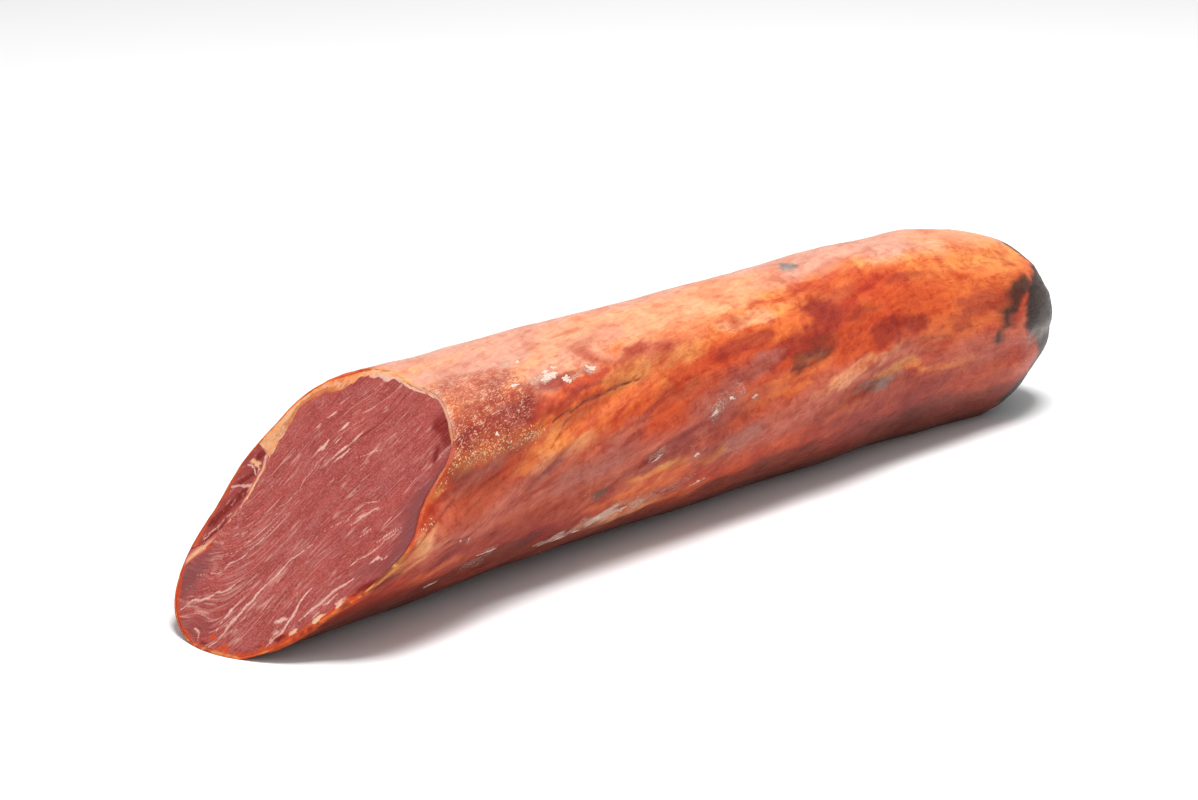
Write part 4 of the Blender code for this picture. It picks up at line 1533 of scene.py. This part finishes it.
# Where bloom dusts the casing: along, angle, half length, half width, climb and strength
BLOOM_ZONES = (
    (58, 127, 6, 2.0, 12, 0.7), (62, 131, 3, 1.0, 0, 0.6), (71.5, 129.5, 2.6, 1.2, 8, 0.7),
    (48, 127, 2.4, 0.9, 6, 0.6), (53, 109, 5, 1.6, 40, 0.55), (60, 104, 5, 1.4, 40, 0.5),
    (82, 121, 5, 1.6, 30, 0.45), (44, 113, 6, 2.0, 30, 0.35), (104, 170, 4, 3.6, 12, 0.6),
    (111, 164, 7, 2.2, 8, 0.5), (119, 168, 2.4, 1.2, 10, 0.6), (128, 153, 6, 3.0, 4, 0.35),
    (85, 184, 5, 1.4, 10, 0.6), (72, 183, 9, 3.0, 10, 0.4), (98, 188, 6, 2.4, 8, 0.5),
    (112, 189, 9, 2.6, 8, 0.4), (56, 217, 8, 2.6, 4, 0.75), (69, 212, 7, 2.8, 4, 0.85),
    (79, 210, 7, 3.4, 4, 0.7), (92, 206, 10, 3.0, 4, 0.5), (31, 207, 4.5, 0.9, 2, 0.6),
    (17, 219, 5, 1.4, 2, 0.6), (26, 214, 8, 2.4, 2, 0.5), (20, 191.5, 4, 0.7, -8, 0.5),
    (174, 201, 9, 2.4, 6, 0.35), (62, 194, 5, 1.0, 6, 0.4), (196, 188, 10, 1.4, 0, 0.3),
    (33, 97, 4, 3.0, 0, 0.3), (24, 155.5, 4, 0.6, 3, 0.45), (35, 154.6, 5, 1.1, 6, 0.5),
    (44, 153.6, 3, 0.7, 8, 0.5), (30, 149, 5, 0.7, 4, 0.3),
)  # fmt: skip


def bloom_share(flat, strand):
    """Where pale bloom dusts the casing, from 0 to 1."""
    uneven = 0.55 * cloud(stretched(strand, 2.0), 2.4, 81) + 0.35 * cloud(stretched(strand, 1.6), 0.9, 82, 2)
    places = flat + wobble_of(strand, 1.2, 4.0, 84)
    share = 0.16 * ease(cloud(strand, 9.0, 83))
    for *place, strength in BLOOM_ZONES:
        share = np.maximum(share, strength * ease(1.35 - oval(places, *place) + uneven))
    return share


# How far a layer on the cut reaches over the fat or over the casing beside it
LAP_OVER_FAT = 0.25 * MM
LAP_OVER_CASING = 0.14 * MM

# Marks along the lean's edge: their angle, how far they spread round it, how many millimetres
# they reach in and their strength
DARK_FRONT = (168.0, 26.0, 0.8, 0.8)
DARK_TOP = (84.0, 34.0, 1.2, 0.3)
DULL_FRONT = (176.0, 24.0, 4.6, 1.2)
GLOW_TOP = (42.0, 17.0, 0.7, 0.7)

# Upright ovals on the cut: across, height from the axis, half width and half height
FATTY_OVAL = (6.0, -14.0, 22.0, 15.0)
DULL_BACK = (19.5, -16.0, 4.0, 5.5)
DULL_LOW_BACK = (9.0, -23.0, 6.0, 3.0)


def edge_mark(angles, inside, angle, spread, reach, strength):
    """A mark along part of the cut's edge, which fades round it and inwards."""
    return strength * bell((angles - angle) / spread) * bell(inside / reach)


def upright_oval(flat, across, height, wide, tall):
    """The distance from the middle of an oval on the cut, which is 1 on its edge."""
    return np.hypot((flat[..., 0] - across) / wide, (flat[..., 1] - height) / tall)


class LOIN_OT_lean(bpy.types.Operator):
    """Makes the lean meat, with its cut face"""

    bl_idname = "loin.lean"
    bl_label = "Lean meat"

    def execute(self, context):
        sizes, colours = context.scene.loin_sizes, context.scene.loin_colours
        around = sizes.lean_around
        angle = angles_round(around)
        under_fat = (angle > FAT_BOTTOM) & (angle < FAT_FRONT)
        lap = np.where(under_fat, LAP_OVER_FAT, LAP_OVER_CASING)
        border = ring(angle, lean_edge_depth(angle, 0.0) - lap, 0.0)
        middle = np.array([0.0, 0.0, AXIS_HEIGHT])
        part = np.linspace(0.0, 1.0, sizes.lean_rings)[1:, None, None]
        face = middle + part * (border - middle)
        edge = np.linalg.norm(face - border, axis=-1) / MM
        from_fat = np.maximum(np.abs(turned(angle - 0.5 * (FAT_FRONT + FAT_BOTTOM))) - 76.0, 0.0)
        height = cut_face_relief(section_of(face), edge, 1.0 - bell(from_fat / 6.0))
        face += height[..., None] * MM * cut_normal()
        body = hidden_rings(angle, lean_edge_depth, body_shares(), LEAN_END_DEPTH)
        rows = resting(np.stack([*face, *body]), INSIDE_LEAST)
        quads, tips = tube_faces(len(rows), around)
        faces = [*quads, *tips]
        piece = new_piece("lean", rows + frame_shift(), faces, lean_finish(colours), ["lean_meat"])
        self.add_marks(piece, rows, edge, angle)
        places = map_cut(section_of(rows)).reshape(-1, 2)
        cut = places[quads[: (len(face) - 1) * around]]
        hidden = map_grid(len(body) + 1, around + 1, *LEAN_BODY_MAP)
        add_bake_map(piece, cut, hidden, places[tips[0]], map_round(around, LEAN_TIP_MAP, TIP_MAP_REACH))
        outward(piece)
        return {"FINISHED"}

    def add_marks(self, piece, rows, edge, angle):
        """Keeps what the finish reads: edge is how far in from it each place on the cut lies."""
        flat = section_of(rows)
        inside = np.full(rows.shape[:2], 12.0)
        inside[: len(edge)] = edge
        angles = np.broadcast_to(angle, rows.shape[:2])
        bites = 0.8 * cloud(three(flat), 2.6, 57)
        right = bell((angles - 138.5) / 11.5) * bell(np.maximum(inside + bites - 1.2, 0.0) / 2.4)
        dark = [right, *(edge_mark(angles, inside, *mark) for mark in (DARK_FRONT, DARK_TOP))]
        # The knife's groove is painted dark: painted shade.
        dark += [cut_spots(flat, "dark"), 0.7 * line_share(flat, KNIFE_LINE, 0.2)]
        dull = [edge_mark(angles, inside, *DULL_FRONT), 0.62 * cut_spots(flat, "dull")]
        dull += [bell(upright_oval(flat, *DULL_BACK)), 0.6 * bell(upright_oval(flat, *DULL_LOW_BACK))]
        low = ease((np.abs(turned(angles - 268.0)) - 74.0) / -12.0)
        glow = low * bell(inside / (1.1 + 0.5 * wavering(angles, 2.0, 76)))
        stain = [glow, edge_mark(angles, inside, *GLOW_TOP), cut_spots(flat, "stain")]
        add_values(
            piece,
            fatty=ease(1.3 - upright_oval(flat, *FATTY_OVAL)),
            dark=np.maximum.reduce(dark),
            dull=np.maximum.reduce(dull),
            stain=np.maximum.reduce(stain),
            glint=cut_spots(flat, "glint"),
            vein=np.maximum(vein_share(flat), cut_spots(flat, "vein")),
        )
        add_vectors(piece, "place", rows / MM)
        add_map(piece, "grain", grain_places(flat).reshape(-1, 2))


# A band is nowhere thinner than this
THINNEST_BAND = 0.05 * MM

# How many points the bands have: round the fat's cap, its seam and its lip, round the side
# muscle, and across each band
CAP_POINTS = 230
SEAM_POINTS = 110
LIP_POINTS = 30
SIDE_POINTS = 120
FAT_ACROSS = 12
SIDE_ACROSS = 16

# How far the fat's inner edge is tucked under the lean's, in millimetres
FAT_TUCK = 0.2


def band_piece(name, spread, outer, inner, across, finish, node, tuck=0.0):
    """A layer that runs under the skin: a band on the cut, carried back along the loin.

    Its inner edge lies lower than the rest of its cut by the tuck, in millimetres.
    """
    part = np.linspace(0.0, 1.0, across)[:, None]
    grids = []
    for share in np.append(0.0, body_shares()):
        angle = spread(share)
        top = outer(angle, share)
        bottom = np.maximum(inner(angle, share), top + THINNEST_BAND)
        grids.append(ring(angle[None, :], top * (1.0 - part) + bottom * part, share))
    front, *middles, back = grids
    places = three(section_of(front))
    height = 0.12 * cloud(places, 2.6, 91, 2) + 0.08 * cloud(places, 0.9, 92, 2) + 0.05
    height = height - tuck * ease((part - 0.75) / 0.25)
    front = front + height[..., None] * MM * cut_normal()
    rows, columns = front.shape[:2]
    quads, edge = grid_faces(rows, columns), edge_numbers(rows, columns)
    size, length = rows * columns, len(edge)
    loops = [grid.reshape(-1, 3)[edge] for grid in middles]
    points = np.concatenate([front.reshape(-1, 3), back.reshape(-1, 3), *loops])
    numbers = [2 * size + index * length + np.arange(length) for index in range(len(loops))]
    numbers = [edge, *numbers, edge + size]
    faces = [*quads, *(quads + size)]
    for first, second in zip(numbers, numbers[1:]):
        faces += list(np.stack([first, np.roll(first, -1), np.roll(second, -1), second], axis=-1))
    piece = new_piece(name, resting(points, INSIDE_LEAST) + frame_shift(), faces, finish, [node])
    walls = map_grid(len(numbers), length + 1, *BAND_WALL_MAP)
    cut = map_cut(section_of(front)).reshape(-1, 2)[quads]
    add_bake_map(piece, cut, map_grid(rows, columns, *BAND_END_MAP), walls)
    add_vectors(piece, "place", points / MM)
    outward(piece)
    depth = np.repeat(part[:, 0], columns)
    return piece, points, np.concatenate([depth, depth, np.zeros(len(points) - 2 * size)])


def edge_numbers(rows, columns):
    """Numbers of the points round the edge of a grid, in order."""
    grid = np.arange(rows * columns).reshape(rows, columns)
    return np.concatenate([grid[0, :-1], grid[:-1, -1], grid[-1, :0:-1], grid[:0:-1, 0]])


def fat_spread(share):
    """The fat's angles: the cap over the lean, the seam behind the side muscle, and its lip."""
    cap = np.linspace(FAT_FRONT, CAP_BACK + notch(share), CAP_POINTS)
    seam = np.linspace(CAP_BACK - 0.4, SIDE_BOTTOM - 0.5, SEAM_POINTS)
    lip = np.linspace(SIDE_BOTTOM - 1.0, FAT_BOTTOM, LIP_POINTS)
    return np.concatenate([cap, seam, lip])


def fat_outer(angle, share):
    """The depth of the fat's outer side, under the casing or under the side muscle."""
    beside = (angle < CAP_BACK - 0.3) & (angle > SIDE_BOTTOM - 0.7)
    under_side = side_depth(np.clip(angle, SIDE_BOTTOM, SIDE_TOP), share) + 0.05 * MM
    return np.where(beside, under_side, wall_depth(angle, share) - LAP_OVER_CASING)


# Lines on the side muscle's cut as (across, height from the axis) points, those that are pale
# and the lobes each with a half width
SEAM_LINE = (
    (21.6, 6.6), (19.9, 4.0), (19.4, 1.4), (19.0, -0.7), (18.7, -3.3), (19.2, -4.9), (19.3, -7.1),
    (19.7, -9.2),
)  # fmt: skip
BULGE_LINE = ((19.7, -9.4), (20.6, -10.2), (22.1, -11.6), (23.0, -13.4))
CREAM_LINE = ((24.2, 5.0), (22.0, 4.9))
STAIN_LINE = ((26.0, 3.2), (25.3, -3.8), (24.9, -8.3), (23.6, -13.0))
SIDE_PALE = (
    (((24.6, -0.2), (22.4, 0.4), (20.0, 0.8)), 0.35),
    (((18.9, -2.8), (19.6, -4.0), (21.3, -6.2), (22.9, -9.4)), 0.22),
    (((24.4, 4.0), (22.2, 3.9), (20.6, 2.8)), 0.22),
    (((21.9, 4.9), (20.7, 3.9), (19.9, 3.0)), 0.3),
)
SIDE_LOBES = (
    (((21.2, 3.4), (23.4, 1.3)), 0.8),
    (((20.8, -0.6), (23.4, -6.6)), 1.1),
    (((19.8, -6.2), (22.4, -10.0)), 0.5),
)

# The dent between the fat and the side muscle, painted dark as painted shade
DENT_PLACE = (23.0, 6.2)
DENT_REACH = 1.3


def dent_shade_share(flat):
    """How near the dent each place on the cut is, from 0 to 1, for the painted shade in it."""
    return bell(np.linalg.norm(flat - np.array(DENT_PLACE), axis=-1) / DENT_REACH)


class LOIN_OT_fat(bpy.types.Operator):
    """Makes the fat layer and the pale seam beside the side muscle"""

    bl_idname = "loin.fat"
    bl_label = "Fat layer"

    def execute(self, context):
        finish = fat_finish(context.scene.loin_colours)
        piece, points, depth = band_piece(
            "fat", fat_spread, fat_outer, fat_depth, FAT_ACROSS, finish, "fat_layer", FAT_TUCK
        )
        flat = section_of(points)
        turn = np.degrees(np.arctan2(flat[:, 1], flat[:, 0]))
        along_back = ease((flat[:, 0] - 14.0) / 3.0) * ease((7.5 - flat[:, 1]) / 2.0)
        pale = np.maximum(line_share(flat, SEAM_LINE, 0.3), line_share(flat, BULGE_LINE, 0.75))
        stain = 0.85 * bell((turn - 54.0) / 20.0) + 0.3 * ease(-turn / 15.0)
        milky = ease((turn - 62.0) / 14.0) * ease((depth - 0.2) / 0.6)
        add_values(
            piece,
            dark=dent_shade_share(flat),
            meat=along_back * (1.0 - pale),
            stain=stain - 0.3 * bell((turn - 24.0) / 9.0),
            yellow=0.55 * bell((turn - 22.0) / 9.0),
            outer=bell((turn - 60.0) / 14.0) * ease(1.0 - depth / 0.6),
            inner=bell((turn - 40.0) / 19.0) * ease((depth - 0.2) / 0.4),
            milky=np.maximum(milky, 0.45 * ease(-turn / 8.0)),
        )
        return {"FINISHED"}


def side_spread(share):
    """The side muscle's angles, from its top to its bottom."""
    return np.linspace(SIDE_TOP + 1.9 - notch(share), SIDE_BOTTOM - 0.7, SIDE_POINTS)


class LOIN_OT_side_muscle(bpy.types.Operator):
    """Makes the small dark muscle at the back of the cut"""

    bl_idname = "loin.side_muscle"
    bl_label = "Side muscle"

    def execute(self, context):
        finish = side_finish(context.scene.loin_colours)
        piece, points, _ = band_piece(
            "side", side_spread, wall_depth, side_depth, SIDE_ACROSS, finish, "side_muscle"
        )
        flat = section_of(points)
        wobbly = flat + wobble_of(three(flat), 0.4, 1.8, 53)
        pale = [line_share(wobbly, line, width) for line, width in SIDE_PALE]
        lobes = [line_share(wobbly, line, width) for line, width in SIDE_LOBES]
        add_values(
            piece,
            pale=np.maximum.reduce([*pale, 0.9 * line_share(wobbly, SEAM_LINE, 0.5)]),
            lobe=np.maximum.reduce(lobes),
            cream=line_share(wobbly, CREAM_LINE, 0.75),
            stain=line_share(wobbly, STAIN_LINE, 0.9),
            dark=dent_shade_share(flat),
        )
        return {"FINISHED"}


# Flakes: along, angle, half length, half width and climb of the biggest of a group, and how many
# there are
FLAKES = (
    (47.5, 127.2, 1.5, 0.4, 2, 1), (57.3, 128.2, 1.9, 0.6, 12, 3), (60, 127.2, 1.7, 0.8, 20, 4),
    (62.6, 131.4, 1.5, 0.7, 16, 4), (72, 129.6, 1.2, 0.8, 0, 3), (62, 122.8, 0.9, 0.5, 10, 2),
    (57, 108, 1.4, 0.4, 40, 2), (33, 149, 0.7, 0.4, 0, 2), (17.5, 190.2, 0.4, 0.25, 0, 3),
    (21, 192, 0.4, 0.25, 0, 3), (31, 207.4, 2.4, 0.22, 2, 4), (16, 219.5, 1.6, 0.25, 0, 3),
    (56.5, 219, 1.5, 0.3, 2, 3), (62, 218, 1.2, 0.3, 2, 3), (68, 211.5, 1.0, 0.5, 10, 5),
    (76.5, 210.5, 1.2, 0.4, 4, 4), (85, 185, 1.7, 0.3, 12, 3), (98, 189, 1.0, 0.4, 8, 2),
    (119, 168.4, 0.8, 0.4, 10, 2), (110, 165.4, 0.9, 0.3, 8, 2), (101, 208, 1.5, 0.5, 4, 3),
    (104, 170, 1.0, 0.6, 12, 2),
)  # fmt: skip
FLAKE_SEED = 12

# Scabs: how many points go round one, its rings as shares of its width and of its lift, and the
# waves that make its edge uneven
SCAB_SIDES = 18
SCAB_RINGS = ((1.0, -0.10), (0.84, 0.55), (0.5, 0.95))
SCAB_WAVES = (2, 3, 5)

# Crust grains: how many run along the dry edge, the clusters there, where it starts along the
# loin and how far it runs, in millimetres, and how many lie at the cut's edge, by which angles
CRUST_COUNT = 280
CRUST_CLUSTERS = (0.2, 0.45, 0.85)
CRUST_START = 19.0
CRUST_LENGTH = 27.0
EDGE_COUNT = 90
EDGE_CLUSTERS = (151.0, 155.0, 159.0, 163.0, 178.0)
CRUST_SEED = 21


def scab_piece(name, along, angle, length, width, climb, lift, chance, finish):
    """Many small uneven scabs that lie on the casing, as one mesh."""
    turn = np.linspace(0.0, 2.0 * np.pi, SCAB_SIDES, endpoint=False)
    starts = chance.uniform(0.0, 2.0 * np.pi, (len(along), len(SCAB_WAVES), 1))
    waves = [0.22 * np.sin(wave * turn + starts[:, index]) for index, wave in enumerate(SCAB_WAVES)]
    uneven = 1.0 + sum(waves) + 0.10 * chance.uniform(-1.0, 1.0, (len(along), SCAB_SIDES))
    reach = uneven[..., None] * np.stack([np.cos(turn), np.sin(turn)], axis=-1)
    reach = reach * np.stack([length, width], axis=-1)[:, None, :]
    run, side = rotated(reach, -np.radians(climb)[:, None])
    rings, ups = np.array(SCAB_RINGS).T[:, None, :, None]
    alongs = along[:, None, None] + rings * run[:, None, :]
    angles = angle[:, None, None] + np.degrees(rings * side[:, None, :] * MM / LOIN_RADIUS)
    lifts = np.broadcast_to(ups * lift[:, None, None], alongs.shape)
    points = casing_places(angles, alongs * MM, lifts)
    quads, tips = tube_faces(len(SCAB_RINGS), SCAB_SIDES)
    faces = []
    for index in range(len(along)):
        first = index * SCAB_SIDES * len(SCAB_RINGS)
        faces += [face + first for face in (*quads, *tips)]
    piece = new_piece(name, points + frame_shift(), faces, finish)
    outward(piece)


class LOIN_OT_bloom(bpy.types.Operator):
    """Makes the white flakes of dry bloom on the casing"""

    bl_idname = "loin.bloom"
    bl_label = "Bloom flakes"

    def execute(self, context):
        chance = np.random.default_rng(FLAKE_SEED)
        rows = [(*flake[:5], index) for flake in FLAKES for index in range(flake[5])]
        along, angle, length, width, climb, index = np.array(rows, float).T
        count, beside = len(rows), index > 0
        along = along + beside * length * chance.normal(0.0, 0.75, count)
        angle = angle + beside * chance.normal(0.0, 1.1, count) * np.degrees(width * MM / LOIN_RADIUS)
        shrink = np.where(beside, chance.uniform(0.22, 0.6, count), 1.0)
        climb = climb + 6.0 + beside * chance.normal(0.0, 14.0, count)
        lift = context.scene.loin_sizes.flake_lift / MM * chance.uniform(0.6, 1.2, count)
        finish = bloom_finish(context.scene.loin_colours)
        scab_piece("bloom", along, angle, length * shrink, width * shrink**0.6, climb, lift, chance, finish)
        return {"FINISHED"}


class LOIN_OT_crust(bpy.types.Operator):
    """Makes the grains of dried crust along the casing's dry edge"""

    bl_idname = "loin.crust"
    bl_label = "Crust grains"

    def execute(self, context):
        chance = np.random.default_rng(CRUST_SEED)
        part = chance.choice(CRUST_CLUSTERS, CRUST_COUNT) + chance.normal(0.0, 0.13, CRUST_COUNT)
        along = CRUST_START + CRUST_LENGTH * part
        angle = 156.5 - 3.0 * part + chance.normal(0.0, 1.8, CRUST_COUNT)
        edge_angle = chance.choice(EDGE_CLUSTERS, EDGE_COUNT) + chance.normal(0.0, 1.7, EDGE_COUNT)
        edge_along = alongs_of(edge_angle, 0.0, 0.0) / MM + 0.8 + chance.exponential(1.5, EDGE_COUNT)
        along, angle = np.append(along, edge_along), np.append(angle, edge_angle)
        length = chance.uniform(0.09, 0.24, len(along))
        width = length * chance.uniform(0.6, 0.9, len(along))
        lift = length * chance.uniform(0.35, 0.6, len(along))
        climb = chance.uniform(-30.0, 60.0, len(along))
        finish = crust_finish(context.scene.loin_colours)
        scab_piece("crust", along, angle, length, width, climb, lift, chance, finish)
        return {"FINISHED"}


# The floor's width, the key light's place and width, the camera's sensor in millimetres, and the
# colour of the light from all round
FLOOR_SIZE = 30.0
KEY_PLACE = (0.08, -0.06, 1.10)
KEY_SIZE = 0.42
SENSOR_WIDTH = 36.0
WHITE = (1.0, 1.0, 1.0, 1.0)


class LOIN_OT_stage(bpy.types.Operator):
    """Makes the floor, the light and the camera"""

    bl_idname = "loin.stage"
    bl_label = "Stage"

    def execute(self, context):
        stage = context.scene.loin_stage
        bpy.ops.mesh.primitive_plane_add(size=FLOOR_SIZE)
        floor = context.object
        floor.name = "floor"
        floor.data.materials.append(floor_finish(list(stage.floor)))
        self.add_light("key", stage.key, KEY_PLACE, KEY_SIZE)
        self.add_world(context, stage.fill)
        self.add_camera(context, stage)
        context.scene.view_settings.view_transform = "Standard"
        return {"FINISHED"}

    def add_light(self, name, power, place, size):
        """A square soft light that looks at the loin."""
        light = bpy.data.lights.new(name, "AREA")
        light.energy = power
        light.size = size
        lamp = bpy.data.objects.new(name, light)
        lamp.location = place
        lamp.rotation_mode = "QUATERNION"
        lamp.rotation_quaternion = (-Vector(place)).to_track_quat("-Z", "Y")
        bpy.context.scene.collection.objects.link(lamp)

    def add_world(self, context, fill):
        """A white backdrop for the camera, and a weaker white light from all round."""
        world = bpy.data.worlds.new("studio")
        context.scene.world = world
        world.use_nodes = True
        tree = NodeTree(world.node_tree)
        around = tree.nodes["Background"]
        tree.join(around.inputs["Color"], WHITE)
        tree.join(around.inputs["Strength"], fill)
        backdrop = tree.add("ShaderNodeBackground", None, {"Color": WHITE})
        seen = tree.add("ShaderNodeLightPath")
        sockets = {0: seen, 1: Wire(tree, around.outputs[0]), 2: backdrop}
        choice = tree.add("ShaderNodeMixShader", None, sockets)
        tree.join(tree.nodes["World Output"].inputs["Surface"], choice)

    def add_camera(self, context, stage):
        """The camera at the photo's angle."""
        camera = bpy.data.objects.new("camera", bpy.data.cameras.new("camera"))
        camera.data.lens = stage.lens
        camera.data.sensor_width = SENSOR_WIDTH
        camera.data.dof.use_dof = False
        camera.location = stage.place
        level = np.cos(stage.tilt)
        ahead = Vector((np.cos(stage.turn) * level, np.sin(stage.turn) * level, -np.sin(stage.tilt)))
        camera.rotation_mode = "QUATERNION"
        camera.rotation_quaternion = ahead.to_track_quat("-Z", "Y")
        context.scene.collection.objects.link(camera)
        context.scene.camera = camera


class LOIN_PT_panel(bpy.types.Panel):
    """Lists the loin's pieces and its settings"""

    bl_idname = "LOIN_PT_panel"
    bl_label = "Cured pork loin"
    bl_space_type = "VIEW_3D"
    bl_region_type = "UI"
    bl_category = "Loin"

    def draw(self, context):
        for operator in OPERATORS:
            self.layout.operator(operator.bl_idname)
        for group in (context.scene.loin_sizes, context.scene.loin_colours, context.scene.loin_stage):
            box = self.layout.box()
            for name in group.bl_rna.properties.keys():
                if name not in ("rna_type", "name"):
                    box.prop(group, name)


GROUPS = {"loin_sizes": LoinSizes, "loin_colours": LoinColours, "loin_stage": LoinStage}
OPERATORS = (
    LOIN_OT_lean, LOIN_OT_fat, LOIN_OT_side_muscle, LOIN_OT_casing, LOIN_OT_bloom, LOIN_OT_crust,
    LOIN_OT_stage,
)  # fmt: skip


def register():
    for name, group in GROUPS.items():
        bpy.utils.register_class(group)
        setattr(bpy.types.Scene, name, bpy.props.PointerProperty(type=group))
    for kind in (*OPERATORS, LOIN_PT_panel):
        bpy.utils.register_class(kind)


def unregister():
    for kind in (LOIN_PT_panel, *reversed(OPERATORS)):
        bpy.utils.unregister_class(kind)
    for name, group in GROUPS.items():
        delattr(bpy.types.Scene, name)
        bpy.utils.unregister_class(group)


def main():
    register()
    bpy.ops.loin.lean()
    bpy.ops.loin.fat()
    bpy.ops.loin.side_muscle()
    bpy.ops.loin.casing()
    bpy.ops.loin.bloom()
    bpy.ops.loin.crust()
    bpy.ops.loin.stage()


if __name__ == "__main__":
    main()
